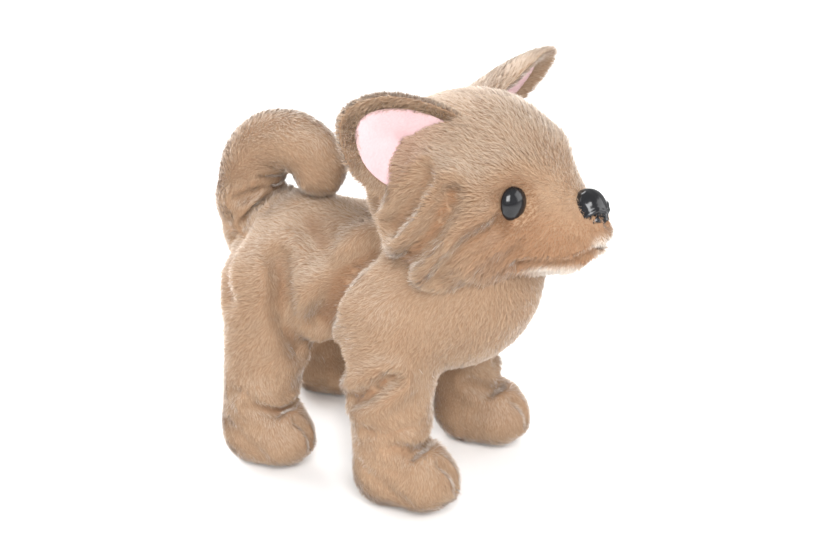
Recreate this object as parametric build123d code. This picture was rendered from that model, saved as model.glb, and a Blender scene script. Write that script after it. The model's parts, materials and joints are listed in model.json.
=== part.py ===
"""Walking plush puppy: a soft toy dog over a geared, battery driven walking mechanism.

Millimetres. +Z is up, the dog faces -Y, its left side is +X, and it stands on Z = 0.
The origin is on the floor, under the centre of the whole toy.
"""
from build123d import *
import os
from math import asin, atan2, cos, degrees, radians, sin, hypot

# ---------------------------------------------------------------- overall sizes
HIP_Z = 89.0                # height of both hip axles above the floor
FRONT_HIP_Y = -14.0
REAR_HIP_Y = 55.0
BODY_REAR = (0.0, REAR_HIP_Y - 6, HIP_Z + 4)
BODY_REAR_R = 31.0
BODY_FRONT = (0.0, FRONT_HIP_Y - 16, HIP_Z + 6)
BODY_FRONT_R = 35.0
SKIN = 2.5                  # plush with its pile, as a wall
SOFT_GAP = 0.5              # between soft pieces that move past each other
GAP = 0.3                   # between hard pieces that move past each other
CAVITY_GAP = 0.15           # between a hard piece and the soft piece around it
RUN = 0.05                  # radial clearance of a shaft in its bore
BEYOND = 60.0               # reach of a cutting block past whatever it cuts

# ---------------------------------------------------------------- legs
STRIDE = 18.0               # degrees that each leg swings
HIP_X = 30.0
HIP_R = 19.5
KNEE_X = 33.0
KNEE_Z = 0.472 * HIP_Z
KNEE_R = 16.5
FOOT_X = 33.5
HEEL_R = 16.0
TOE_R = 15.5
SOLE_FLAT = 0.8             # how far a sole is pressed flat by the floor
LEG_INNER_X = 22.0          # inner face of a leg beside the body
BELLY_CLEAR_R = 36.0        # round the hip axis, where the leg stays outside LEG_INNER_X
# name: side, Y of the hip, the ankle and the toe, way it turns from rest
LEGS = {
    "front_left": (1, FRONT_HIP_Y, FRONT_HIP_Y - 11, FRONT_HIP_Y - 26, 1),
    "front_right": (-1, FRONT_HIP_Y, FRONT_HIP_Y - 3, FRONT_HIP_Y - 20, -1),
    "rear_left": (1, REAR_HIP_Y, REAR_HIP_Y + 16, REAR_HIP_Y + 1, -1),
    "rear_right": (-1, REAR_HIP_Y, REAR_HIP_Y + 3, REAR_HIP_Y - 14, 1),
}
AXLE_R = 1.5
BOSS_R = 6.5
SHANK_R = 6.0
PLATE_T = 3.0               # plastic plate of a leg, beside the body
SHANK_T = 15.0
LEVER_ARM = 10.0            # hip axis to lever pin
LEVER_R = 3.2
LEVER_PIN_R = 1.5
CAP_R = 4.0
CAP_T = 2.0
PAW_WAD_R = 9.0
LEG_SEAM = 60.0             # degrees, where the revolved surfaces of a leg start
SHANK_TOP = 12.0            # height of the shank's round top above the knee
FOOT_END = (11.0, -5.0)     # plastic foot's end from the toe's centre, back and down

# ---------------------------------------------------------------- chassis
CH_X = 19.0                 # half width
CH_Y0 = FRONT_HIP_Y - 24
CH_Y1 = REAR_HIP_Y + 5
CH_Z0 = HIP_Z - 6
CH_Z1 = CH_Z0 + 30
WALL = 1.8
CORNER = 5.0
SCREW_R = 1.2
SCREW_HEAD_R = 2.3
SCREW_HEAD_T = 1.4
BOSS_WALL = 1.6
SCREW_SLOT = 0.6
GUIDE_HEAD = 1.2            # how far a guide pin's head stands out round the pin

# ---------------------------------------------------------------- batteries
CELL_R = 7.1
CELL_L = 49.5
CELL_GAP = 0.4
NUB_R = 2.7
NUB_L = 1.0
BATT_WALL = 1.3
BATT_Y0 = FRONT_HIP_Y - 6
BAY_Y0 = BATT_Y0 + 15.5     # front wall of the cell bay
SPRING_ROOM = 3.4
BATT_Z0 = CH_Z0 - BATT_WALL - 2 * CELL_R - 1.5 * CELL_GAP
COVER_T = 1.8
BOX_CORNER = 2.0
COIL_R = 4.2
COIL_TAPER = 0.5            # each turn of a contact coil is smaller by this much
COIL_WIRE = 0.9
COIL_PITCH = 0.82
COIL_TURNS = 4
COVER_SCREW_IN = 4.5        # cover screw from the rear edge
COVER_HEAD_T = 0.9
GRIP = (7.0, 2.4, 1.0, 0.5)  # grip lines: first one's place, step, width, depth
GRIP_LINES = 4
OPENING_GAP = 1.0

# ---------------------------------------------------------------- gears
MODULE = 0.6
PINION_T = 10
WHEEL_T = 30
CRANK_PINION_T = 12
CRANK_WHEEL_T = 36
GEAR_Z = CH_Z0 + 15
CRANK_Y = (FRONT_HIP_Y + REAR_HIP_Y) / 2
GEAR_W = 2.0
PINION_W = 2.9
PLANE_GAP = 0.5
PLANE_X = 4.6               # inner face of the first wheel
GEAR_SHAFT_R = 1.0
CRANK_SHAFT_R = 1.5
MOTOR_RISE = 14.5           # degrees, motor pinion above the first wheel
MOTOR_R = 10.0
MOTOR_CHAMFER = 0.8
MOTOR_NOSE = (2.6, 0.6)     # radius and length of the bearing boss
SHAFT_IN_MOTOR = 2.0
CRANK_HUB = (4.0, 2.0)      # radius and length
CRANK_DISC_IN = 1.0         # how far a disc reaches inside the chassis wall
MOTOR_X0 = -16.0
MOTOR_X1 = 3.4
CRANK_DISC_R = 6.5
CRANK_PIN_R = 1.25
SLOT_SPARE = 0.6            # extra length of an upright slot at each end
GUIDE_SPARE = 0.1           # extra length of a level slot at each end
KNEE_OF_BAR = 6.0           # clearance between a bar's bend and the rear leg's boss

# ---------------------------------------------------------------- drive bars
BAR_X = 19.7                # inner face
BAR_T = 1.7
BAR_H = 7.0
SLOT_GAP = 0.15
GUIDE_Y = (FRONT_HIP_Y + 14.5, REAR_HIP_Y - 19)
GUIDE_R = 1.4

# ---------------------------------------------------------------- head
NECK_Y = CH_Y0 + 7
NECK_Z = CH_Z1 + 6
NOD = (-8.0, 12.0)          # degrees, nose up and nose down
SKULL = (0.0, NECK_Y - 8, NECK_Z + 31)
SKULL_R = 28.0
SKULL_WALL = 2.0
CRANIUM = (((0.0, SKULL[1] + 6, SKULL[2] - 1), 38.0), ((0.0, SKULL[1] - 5, SKULL[2] + 1), 38.0))
CHEEK = (14.0, SKULL[1] - 2, SKULL[2] - 14)
CHEEK_R = 27.0
MUZZLE = (
    ((0.0, SKULL[1] - 26, SKULL[2] - 9), 23.0),
    ((0.0, SKULL[1] - 40, SKULL[2] - 12), 18.0),
    ((0.0, SKULL[1] - 47, SKULL[2] - 13), 14.0),
)
BROW_INSET = 8.0            # how much the brow end is smaller than the cranium
HEAD_SEAM = 90.0            # degrees, where the revolved surfaces of the head start
MUZZLE_SEAM = 20.0
WADDING = (
    ((0.0, SKULL[1] - 33.5, SKULL[2] - 13), 7.5),
    ((0.0, SKULL[1] - 43, SKULL[2] - 16), 6.0),
)
NECK_HOLE_R = 24.0
NECK_HOLE_Y = SKULL[1] + 2
SKULL_FLAT = 3.0            # height of the flat above the skull's lowest point
FLOOR_T = 1.6               # plate inside the flat, and the yoke's disc under it
FLOOR_HALF = 13.0
YOKE_X = 5.7
YOKE_Y = 5.0
LUG_R = 3.6
LUG_T = 2.5
EYE = (25.0, SKULL[1] - 32, SKULL[2] + 4)
EYE_R = 6.7
NOSE = (0.0, SKULL[1] - 53.6, SKULL[2] + 0.5)
NOSE_SIZE = (8.0, 7.4, 6.8)  # half sizes
NOSE_TOP = (3.2, 4.9, 1.6)  # half spread, radius and rise of the wide upper part
NOSE_LOW_R = 4.0
NOSE_CORE = 2.0             # how much smaller the middle is than the nose is deep
SHANK_EYE_R = 1.8
SHANK_EYE_L = 12.0
WASHER_R = 5.0
WASHER_T = 1.2
WASHER_IN = 1.0             # washer from the end of its shank
NOSE_SHANK = (0.85, -0.5)   # way of the nose's shank, back and down, per length
EAR_BASE = (27.0, SKULL[1] + 6, SKULL[2] + 22)
EAR_TIP = (63.0, SKULL[1] + 12, SKULL[2] + 36)
EAR_W = 20.0                # half width near the root
EAR_T = 4.0
LINING_T = 1.0
LINING_INSET = 3.5
LINING_GAP = 0.05
EAR_ROOT = -4.0             # how far an ear goes on into the head before it is trimmed
EAR_LEAN = 0.35             # forward lean of an ear's upper edge
EAR_CURVE = ((0.35, 1.0), (0.84, 0.6))   # places along an ear and its width there
ROOT_WIDTH = 0.86

# ---------------------------------------------------------------- tail
TAIL_Y = CH_Y1 + 6
TAIL_Z = CH_Z0 + 17
WAG = 22.0                  # degrees each way
TAIL = (
    ((0.0, TAIL_Y + 15, TAIL_Z), 15.0),
    ((0.0, TAIL_Y + 19, TAIL_Z + 18), 15.0),
    ((0.0, TAIL_Y + 15, TAIL_Z + 36), 14.6),
    ((0.0, TAIL_Y + 6, TAIL_Z + 47), 14.0),
    ((0.0, TAIL_Y - 6, TAIL_Z + 52), 13.5),
    ((0.0, TAIL_Y - 17, TAIL_Z + 50), 12.6),
    ((0.0, TAIL_Y - 23, TAIL_Z + 44), 11.5),
)
TAIL_CORE_R = 3.0
TAIL_PIN_R = 1.5
TAIL_LUG_R = 6.5
TAIL_LUG_T = 2.0
TAIL_LEVER_T = 7.0
TAIL_SEAM = 90.0            # degrees, where the revolved surfaces of the tail start
CORE_SEAM = 45.0
TAIL_ARM = 3.0              # half width of the lever's arm
TAIL_PRESS = 0.05           # clearance where the core is pressed into the lever
TAIL_TRIM = (-40.0, 25.0, 3.0)   # plush trimmed round the pivot: from, to, extra radius

# ---------------------------------------------------------------- sound and control
SPEAKER_R = 12.0
SPEAKER_T = 3.6
MAGNET_R = 6.5
MAGNET_T = 3.0
SPEAKER_Y = REAR_HIP_Y - 13
CONE = (6.0, 10.0, 2.5)     # radius inside, radius at the rim, depth
BOARD_T = 1.6
BOARD_GAP = 2.0             # board to the crank wheel and to the rear axle
BOARD_HOLE = (3.0, 1.0)     # mounting hole: from the edge, radius
BOARD_Z = CH_Z0 + 9
SWITCH_Y = BATT_Y0 + 7.5
SWITCH_TRAVEL = 3.0
SWITCH_CASE = (6.0, 3.0, 6.0)    # half length, half width, height
SWITCH_STAND = 1.2          # case above the floor of its pocket
KNOB = (2.0, 1.6, 2.0)      # half length, half width, how far it goes into the case
KNOB_GRIP = (0.2, 0.5)      # half width and depth of the lines on the knob
KNOB_OUT = 1.0              # how far the knob stands out


# ================================================================ helpers
def block(x0, x1, y0, y1, z0, z1):
    """A box between two corners."""
    centre = Pos((x0 + x1) / 2, (y0 + y1) / 2, (z0 + z1) / 2)
    return centre * Box(abs(x1 - x0), abs(y1 - y0), abs(z1 - z0))


def rod_x(y, z, x0, x1, radius):
    """A round rod along X."""
    return Pos((x0 + x1) / 2, y, z) * Rot(0, 90, 0) * Cylinder(radius, abs(x1 - x0))


def rod_z(x, y, z0, z1, radius):
    """A round rod along Z."""
    return Pos(x, y, (z0 + z1) / 2) * Cylinder(radius, abs(z1 - z0))


def rod_between(start, end, radius):
    """A round rod from one point to another."""
    run = Vector(*end) - Vector(*start)
    plane = Plane(origin=start, z_dir=run)
    return extrude(plane * Circle(radius), amount=run.length)


def tangent_points(length, r0, r1):
    """Where a line touches two circles a length apart, as (offset, along) pairs."""
    lean = asin((r0 - r1) / length)
    first = (r0 * cos(lean), r0 * sin(lean))
    second = (r1 * cos(lean), length + r1 * sin(lean))
    return first, second, lean


def tapered_capsule(p0, r0, p1, r1, seam=0.0):
    """The smooth hull of two balls, with its seam line turned about its own axis."""
    run = Vector(*p1) - Vector(*p0)
    length = run.length
    first, second, lean = tangent_points(length, r0, r1)
    low = (r0 * cos((lean - radians(90)) / 2), r0 * sin((lean - radians(90)) / 2))
    high_angle = (lean + radians(90)) / 2
    high = (r1 * cos(high_angle), length + r1 * sin(high_angle))
    outline = [
        ThreePointArc((0, -r0), low, first),
        Line(first, second),
        ThreePointArc(second, high, (0, length + r1)),
        Line((0, length + r1), (0, -r0)),
    ]
    half = Rot(90, 0, 0) * make_face(outline)
    return Plane(origin=p0, z_dir=run) * Rot(0, 0, seam) * revolve(half, Axis.Z)


def capsule_chain(balls, grow=0.0, seam=0.0):
    """Tapered capsules joined ball to ball."""
    solid = None
    for (p0, r0), (p1, r1) in zip(balls, balls[1:]):
        link = tapered_capsule(p0, r0 + grow, p1, r1 + grow, seam)
        solid = link if solid is None else solid + link
    return solid


def outline_between(p0, r0, p1, r1):
    """The flat hull of two circles, drawn in Y and Z."""
    length = hypot(p1[0] - p0[0], p1[1] - p0[1])
    first, second, _ = tangent_points(length, r0, r1)
    quad = Polygon(first, second, (-second[0], second[1]), (-first[0], first[1]), align=None)
    shape = Circle(r0) + Pos(0, length) * Circle(r1) + quad
    turn = degrees(atan2(p1[1] - p0[1], p1[0] - p0[0])) - 90
    return Pos(*p0) * Rot(0, 0, turn) * shape


def extrude_x(sketch, x0, x1):
    """A sketch drawn in Y and Z, made solid from x0 to x1."""
    low, high = min(x0, x1), max(x0, x1)
    return extrude(Plane.YZ.offset(low) * sketch, amount=high - low)


def turned(y, z, centre_y, centre_z, angle):
    """A point in Y and Z turned about a centre, positive from +Y to +Z."""
    a = radians(angle)
    dy, dz = y - centre_y, z - centre_z
    return (centre_y + dy * cos(a) - dz * sin(a), centre_z + dy * sin(a) + dz * cos(a))


def gear(teeth, width, x0, y, z, phase=0.0):
    """A spur gear along X with straight flanked teeth, thinned for backlash."""
    pitch_r = MODULE * teeth / 2
    root_r = pitch_r - 1.2 * MODULE
    tip_r = pitch_r + 0.85 * MODULE
    half_root = 0.62 * MODULE
    half_tip = 0.24 * MODULE
    tooth = Polygon(
        (root_r - 0.3, -half_root),
        (root_r, -half_root),
        (tip_r, -half_tip),
        (tip_r, half_tip),
        (root_r, half_root),
        (root_r - 0.3, half_root),
        align=None,
    )
    sketch = Circle(root_r)
    for index in range(teeth):
        sketch += Rot(0, 0, phase + 360 * index / teeth) * tooth
    return extrude_x(Pos(y, z) * sketch, x0, x0 + width)


def export(nodes):
    """One STEP file per named node."""
    os.makedirs("parts", exist_ok=True)
    for name, shape in nodes.items():
        shape.label = name
        export_step(shape, f"parts/{name}.step")


# ================================================================ places worked out
WHEEL_STEP = MODULE * (PINION_T + WHEEL_T) / 2
CRANK_STEP = MODULE * (CRANK_PINION_T + CRANK_WHEEL_T) / 2
SECOND_Y = CRANK_Y - CRANK_STEP
FIRST_Y = SECOND_Y - WHEEL_STEP
MOTOR_Y = FIRST_Y - WHEEL_STEP * cos(radians(MOTOR_RISE))
MOTOR_Z = GEAR_Z + WHEEL_STEP * sin(radians(MOTOR_RISE))
PLANE_1 = PLANE_X
PLANE_2 = PLANE_1 + GEAR_W + PLANE_GAP
PLANE_3 = PLANE_2 + GEAR_W + PLANE_GAP
THROW = LEVER_ARM * sin(radians(STRIDE / 2))
FRONT_PIN_Z = HIP_Z + LEVER_ARM
REAR_PIN_Z = HIP_Z - LEVER_ARM
AXLE_X = LEG_INNER_X + PLATE_T + CAP_T + GAP
BATT_X = 2 * CELL_R + CELL_GAP / 2 + CELL_GAP + BATT_WALL
BATT_Y1 = BAY_Y0 + BATT_WALL + CELL_L + NUB_L + SPRING_ROOM + BATT_WALL
CELL_Z = BATT_Z0 + CELL_R + CELL_GAP
CELL_X = CELL_R + CELL_GAP / 2
EYE_IN = Vector(0, CRANIUM[1][0][1], CRANIUM[1][0][2])


# ================================================================ legs
def leg_balls(name):
    """The centres and radii that shape one leg, from hip to toe."""
    side, hip_y, ankle_y, toe_y, _ = LEGS[name]
    knee_y = hip_y + (ankle_y - hip_y) * (HIP_Z - KNEE_Z) / (HIP_Z - HEEL_R)
    return [
        ((side * HIP_X, hip_y, HIP_Z), HIP_R),
        ((side * KNEE_X, knee_y, KNEE_Z), KNEE_R),
        ((side * FOOT_X, ankle_y, HEEL_R - SOLE_FLAT), HEEL_R),
        ((side * FOOT_X, toe_y, TOE_R - SOLE_FLAT), TOE_R),
    ]


def lever_pin_place(name):
    """Y and Z of the lever pin: half a stride behind or ahead of upright."""
    _, hip_y, _, _, direction = LEGS[name]
    up = name.startswith("front")
    start = FRONT_PIN_Z if up else REAR_PIN_Z
    return turned(hip_y, start, hip_y, HIP_Z, -direction * STRIDE / 2)


def leg_core(name, grow=0.0):
    """Plastic leg: hip plate with its lever, shank and foot, in one moulding."""
    side, hip_y, ankle_y, toe_y, _ = LEGS[name]
    hip = (hip_y, HIP_Z)
    ankle = (ankle_y, HEEL_R)
    knee_y = leg_balls(name)[1][0][1]
    pin = lever_pin_place(name)
    inner = side * LEG_INNER_X
    plate_out = side * (LEG_INNER_X + PLATE_T + grow)
    shank_in = side * (LEG_INNER_X + PLATE_T - grow)
    shank_out = side * (LEG_INNER_X + PLATE_T + SHANK_T + grow)
    plate = outline_between(hip, BOSS_R + grow, ankle, SHANK_R + grow)
    plate += outline_between(hip, BOSS_R + grow, pin, LEVER_R + grow)
    shank = outline_between((knee_y, KNEE_Z + SHANK_TOP), SHANK_R + grow, ankle, SHANK_R + grow)
    foot_end = (toe_y + FOOT_END[0], HEEL_R + FOOT_END[1])
    shank += outline_between(ankle, SHANK_R + grow, foot_end, SHANK_R + grow)
    solid = extrude_x(plate, inner, plate_out) + extrude_x(shank, shank_in, shank_out)
    if grow:
        room = rod_x(hip_y, HIP_Z, inner, side * (AXLE_X + 2 * GAP + CAVITY_GAP), CAP_R + GAP)
        return solid + room
    solid -= rod_x(hip_y, HIP_Z, inner, plate_out, AXLE_R + RUN)
    pin_end = side * (CH_X + 2 * GAP)
    return solid + rod_x(pin[0], pin[1], pin_end, side * (LEG_INNER_X + 1), LEVER_PIN_R)


def paw_wadding(name, grow=0.0):
    """Loose fill in the toe, ahead of the plastic foot."""
    side, _, _, toe_y, _ = LEGS[name]
    ball = Pos(side * FOOT_X, toe_y - 1, TOE_R) * Sphere(PAW_WAD_R + grow)
    return ball - leg_core(name, CAVITY_GAP)


def leg_skin(name):
    """Plush sleeve and sock foot, hollow for the plastic leg and the fill."""
    side, hip_y, _, _, _ = LEGS[name]
    solid = capsule_chain(leg_balls(name), 0, LEG_SEAM)
    solid -= block(0, side * BEYOND, FRONT_HIP_Y - BEYOND, REAR_HIP_Y + BEYOND, -BEYOND, 0)
    solid -= rod_x(hip_y, HIP_Z, 0, side * LEG_INNER_X, BELLY_CLEAR_R)
    solid -= leg_core(name, CAVITY_GAP)
    return solid - Pos(side * FOOT_X, LEGS[name][3] - 1, TOE_R) * Sphere(PAW_WAD_R + CAVITY_GAP)


def leg_sweep(name):
    """Room that one leg needs beside the body over its whole swing."""
    side, hip_y, _, _, direction = LEGS[name]
    knee = leg_balls(name)[1][0]
    hip = (hip_y, HIP_Z)
    start = (knee[1], knee[2])
    end = turned(knee[1], knee[2], hip_y, HIP_Z, direction * STRIDE)
    sketch = outline_between(hip, HIP_R + SOFT_GAP, start, KNEE_R + SOFT_GAP)
    sketch += outline_between(hip, HIP_R + SOFT_GAP, end, KNEE_R + SOFT_GAP)
    corners = (hip, start, end) if direction > 0 else (hip, end, start)
    sketch += Polygon(*corners, align=None)
    return extrude_x(sketch, side * (CH_X + GAP), side * BEYOND)


# ================================================================ head
def head_outer(grow=0.0):
    """The soft outside of the head: cranium, cheeks and muzzle."""
    brow = CRANIUM[1]
    start, start_r = MUZZLE[0]
    muzzle = tapered_capsule(brow[0], brow[1] - BROW_INSET + grow, start, start_r + grow, MUZZLE_SEAM)
    muzzle += capsule_chain(MUZZLE, grow, MUZZLE_SEAM)
    solid = capsule_chain(CRANIUM, grow, HEAD_SEAM) + muzzle
    for side in (-1, 1):
        solid += Pos(side * CHEEK[0], CHEEK[1], CHEEK[2]) * Sphere(CHEEK_R + grow)
    return solid


def head_sweep():
    """Room that the head needs over the shoulders, drawn in Y and Z and cut right across."""
    sketch = None
    for angle in (NOD[0], (NOD[0] + NOD[1]) / 2, NOD[1]):
        back, front = [turned(c[0][1], c[0][2], NECK_Y, NECK_Z, angle) for c in CRANIUM]
        cheek = turned(CHEEK[1], CHEEK[2], NECK_Y, NECK_Z, angle)
        reach = CRANIUM[0][1] + 2 * SOFT_GAP
        shape = outline_between(back, reach, front, reach)
        shape += Pos(*cheek) * Circle(CHEEK_R + 2 * SOFT_GAP)
        sketch = shape if sketch is None else sketch + shape
    return extrude_x(sketch, -BEYOND, BEYOND)


def neck_yoke():
    """Stem between the neck lugs, with the disc that carries the skull."""
    stem = block(-YOKE_X, YOKE_X, NECK_Y - YOKE_Y, NECK_Y + YOKE_Y, NECK_Z, skull_floor())
    stem += rod_x(NECK_Y, NECK_Z, -YOKE_X, YOKE_X, LUG_R)
    stem += rod_z(0, NECK_HOLE_Y, skull_floor() - FLOOR_T, skull_floor(), FLOOR_HALF)
    return stem - rod_x(NECK_Y, NECK_Z, -YOKE_X, YOKE_X, AXLE_R + RUN)


def skull_floor():
    """Height of the flat under the skull."""
    return SKULL[2] - SKULL_R + SKULL_FLAT


def skull_half(side):
    """One half of the hollow plastic skull."""
    ball = Pos(*SKULL) * Sphere(SKULL_R) - Pos(*SKULL) * Sphere(SKULL_R - SKULL_WALL)
    _, y, z = SKULL
    floor = skull_floor()
    ball += block(-FLOOR_HALF, FLOOR_HALF, y - FLOOR_HALF, y + FLOOR_HALF, floor, floor + FLOOR_T)
    ball -= block(-BEYOND, BEYOND, y - BEYOND, y + BEYOND, z - BEYOND, floor)
    return ball & block(0, side * BEYOND, y - BEYOND, y + BEYOND, z - BEYOND, z + BEYOND)


def eye(side, grow=0.0):
    """Glossy bead on a shank that points into the head."""
    place = Vector(side * EYE[0], EYE[1], EYE[2])
    inward = (EYE_IN - place).normalized()
    end = place + inward * SHANK_EYE_L
    bead = Pos(*place) * Sphere(EYE_R + grow)
    return bead + rod_between(tuple(place), tuple(end), SHANK_EYE_R + grow)


def eye_washer(side, grow=0.0):
    """Snap washer that holds an eye from inside."""
    place = Vector(side * EYE[0], EYE[1], EYE[2])
    inward = (EYE_IN - place).normalized()
    start = place + inward * (SHANK_EYE_L - WASHER_T - WASHER_IN - grow)
    end = place + inward * (SHANK_EYE_L - WASHER_IN + grow)
    disc = rod_between(tuple(start), tuple(end), WASHER_R + grow)
    if grow:
        return disc
    return disc - rod_between(tuple(start), tuple(end), SHANK_EYE_R)


def nose(grow=0.0):
    """Moulded nose: a rounded triangle with a shank."""
    _, half_y, half_z = NOSE_SIZE
    spread, radius, rise = NOSE_TOP
    _, y, z = NOSE
    top = tapered_capsule((-spread, y, z + rise), radius + grow, (spread, y, z + rise), radius + grow)
    tip = (0, y + 1, z - half_z + NOSE_LOW_R + 0.2)
    low = tapered_capsule((0, y, z + rise), half_y - NOSE_CORE + grow, tip, NOSE_LOW_R + grow)
    shank = rod_between(NOSE, nose_shank_end(), SHANK_EYE_R + grow)
    return top + low + shank


def nose_shank_end():
    """Where the nose shank ends, inside the muzzle."""
    back, up = NOSE_SHANK
    return (0, NOSE[1] + SHANK_EYE_L * back, NOSE[2] + SHANK_EYE_L * up)


def nose_washer(grow=0.0):
    """Snap washer on the nose shank."""
    end = Vector(*nose_shank_end())
    outward = (Vector(*NOSE) - end).normalized()
    start = end + outward * (WASHER_IN - grow)
    stop = start + outward * (WASHER_T + 2 * grow)
    disc = rod_between(tuple(start), tuple(stop), WASHER_R - 1 + grow)
    if grow:
        return disc
    return disc - rod_between(tuple(start), tuple(stop), SHANK_EYE_R)


def muzzle_wadding(grow=0.0):
    """Soft fill that rounds the muzzle ahead of the skull."""
    return capsule_chain(WADDING, grow)


def head_skin():
    """Plush head, hollow for the skull, the neck and the face fittings."""
    solid = head_outer()
    solid -= Pos(*SKULL) * Sphere(SKULL_R + CAVITY_GAP)
    solid -= rod_z(0, NECK_HOLE_Y, SKULL[2] - BEYOND, SKULL[2], NECK_HOLE_R)
    for side in (-1, 1):
        solid -= eye(side, CAVITY_GAP)
        solid -= eye_washer(side, CAVITY_GAP)
    solid -= nose(CAVITY_GAP)
    solid -= nose_washer(CAVITY_GAP)
    return solid - muzzle_wadding(CAVITY_GAP)


def ear_frame(side):
    """Plane of an ear: X from the root to the tip, Z out of its lined face."""
    base = Vector(side * EAR_BASE[0], EAR_BASE[1], EAR_BASE[2])
    tip = Vector(side * EAR_TIP[0], EAR_TIP[1], EAR_TIP[2])
    run = (tip - base).normalized()
    face = run.cross(Vector(0, EAR_LEAN, 1)) * side
    return Plane(origin=base, x_dir=run, z_dir=face), (tip - base).length


def ear_outline(length, inset):
    """A petal with a broad root and a rounded tip."""
    half = EAR_W - inset
    reach = length - inset
    root = half * ROOT_WIDTH
    upper = [(reach * along, half * wide) for along, wide in EAR_CURVE]
    lower = [(x, -y) for x, y in reversed(upper)]
    rim = Spline((EAR_ROOT, root), *upper, (reach, 0), *lower, (EAR_ROOT, -root))
    return make_face([rim, Line((EAR_ROOT, -root), (EAR_ROOT, root))])


def ear(side):
    """Outer plush ear."""
    plane, length = ear_frame(side)
    slab = extrude(plane * ear_outline(length, 0.0), amount=-EAR_T)
    return slab - head_outer(CAVITY_GAP)


def ear_lining(side):
    """Short pile lining on the inside of the ear."""
    plane, length = ear_frame(side)
    slab = extrude(plane.offset(LINING_GAP) * ear_outline(length, LINING_INSET), amount=LINING_T)
    return slab - head_outer(CAVITY_GAP)


# ================================================================ body
def torso_skin():
    """Plush body shell, open at the belly and hollowed where the limbs move."""
    outer = tapered_capsule(BODY_REAR, BODY_REAR_R, BODY_FRONT, BODY_FRONT_R)
    inner = tapered_capsule(BODY_REAR, BODY_REAR_R - SKIN, BODY_FRONT, BODY_FRONT_R - SKIN)
    solid = outer - inner - head_sweep() - tail_sweep()
    for name in LEGS:
        solid -= leg_sweep(name)
    edge = OPENING_GAP
    x = BATT_X + edge
    return solid - block(-x, x, BATT_Y0 - edge, BATT_Y1 + edge, HIP_Z - BEYOND, CELL_Z)


def chest_wadding():
    """Soft fill ahead of the chassis."""
    fill = SKIN + CAVITY_GAP
    solid = tapered_capsule(BODY_REAR, BODY_REAR_R - fill, BODY_FRONT, BODY_FRONT_R - fill)
    ahead = CH_Y0 - CAVITY_GAP
    solid &= block(-BEYOND, BEYOND, ahead - BEYOND, ahead, HIP_Z - BEYOND, HIP_Z + BEYOND)
    for name in ("front_left", "front_right"):
        solid -= leg_sweep(name)
    return solid - head_sweep()


def chassis_shell():
    """The whole chassis, before it is split along the middle."""
    outer = block(-CH_X, CH_X, CH_Y0, CH_Y1, CH_Z0, CH_Z1)
    outer = fillet(outer.edges().filter_by(Axis.Y), CORNER)
    inner = block(-CH_X + WALL, CH_X - WALL, CH_Y0 + WALL, CH_Y1 - WALL, CH_Z0 + WALL, CH_Z1 - WALL)
    solid = outer - inner
    for y, z in screw_places():
        solid += rod_x(y, z, -CH_X + WALL, CH_X - WALL, SCREW_R + BOSS_WALL)
    for side in (-1, 1):
        solid += neck_lug(side)
    solid += tail_lugs()
    for hip_y in (FRONT_HIP_Y, REAR_HIP_Y):
        solid -= rod_x(hip_y, HIP_Z, -CH_X, CH_X, AXLE_R)
    solid -= rod_x(CRANK_Y, GEAR_Z, -CH_X, CH_X, CRANK_DISC_R + GAP)
    solid -= rod_z(0, SPEAKER_Y, CH_Z1 - WALL, CH_Z1, CONE[0])
    for y, z in screw_places():
        solid -= rod_x(y, z, -CH_X, CH_X, SCREW_R)
        solid -= rod_x(y, z, -CH_X, -CH_X + SCREW_HEAD_T, SCREW_HEAD_R)
    for _, y, z in guide_places():
        solid -= rod_x(y, z, -CH_X, CH_X, GUIDE_R)
    return solid


def neck_lug(side):
    """One upright ear of the neck pivot."""
    x0 = side * (YOKE_X + GAP)
    x1 = side * (YOKE_X + GAP + LUG_T)
    lug = block(x0, x1, NECK_Y - LUG_R, NECK_Y + LUG_R, CH_Z1 - WALL, NECK_Z)
    lug += rod_x(NECK_Y, NECK_Z, x0, x1, LUG_R)
    return lug - rod_x(NECK_Y, NECK_Z, x0, x1, AXLE_R)


def tail_lugs():
    """Two plates behind the chassis that hold the tail pin."""
    solid = None
    for z0 in (TAIL_Z - TAIL_LEVER_T / 2 - GAP - TAIL_LUG_T, TAIL_Z + TAIL_LEVER_T / 2 + GAP):
        plate = block(-TAIL_LUG_R, TAIL_LUG_R, CH_Y1 - WALL, TAIL_Y, z0, z0 + TAIL_LUG_T)
        plate += rod_z(0, TAIL_Y, z0, z0 + TAIL_LUG_T, TAIL_LUG_R)
        plate -= rod_z(0, TAIL_Y, z0, z0 + TAIL_LUG_T, TAIL_PIN_R)
        solid = plate if solid is None else solid + plate
    return solid


def chassis_half(shell, side):
    """One half of the chassis, split on the middle plane."""
    return split(shell, bisect_by=Plane.YZ, keep=Keep.TOP if side > 0 else Keep.BOTTOM)


def screw_places():
    """Y and Z of the three screws that close the chassis."""
    inset = SCREW_R + BOSS_WALL + WALL / 2
    front_y = CH_Y0 + inset + 1
    return [(front_y, CH_Z0 + inset), (front_y, CH_Z1 - inset), (REAR_HIP_Y - 12, CH_Z0 + inset)]


def chassis_screws():
    """Self tapping screws that close the chassis, heads on the right side."""
    group = []
    for y, z in screw_places():
        shaft = rod_x(y, z, -CH_X + SCREW_HEAD_T / 2, CH_X - WALL, SCREW_R)
        head = rod_x(y, z, -CH_X, -CH_X + SCREW_HEAD_T, SCREW_HEAD_R)
        half = SCREW_SLOT / 2
        slot = block(-CH_X, -CH_X + SCREW_SLOT, y - SCREW_HEAD_R, y + SCREW_HEAD_R, z - half, z + half)
        group.append(shaft + head - slot)
    return Compound(children=group)


def guide_places():
    """X, Y and Z of the pins that the drive bars slide on."""
    return [(side * CH_X, y, FRONT_PIN_Z) for side in (-1, 1) for y in GUIDE_Y]


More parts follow.
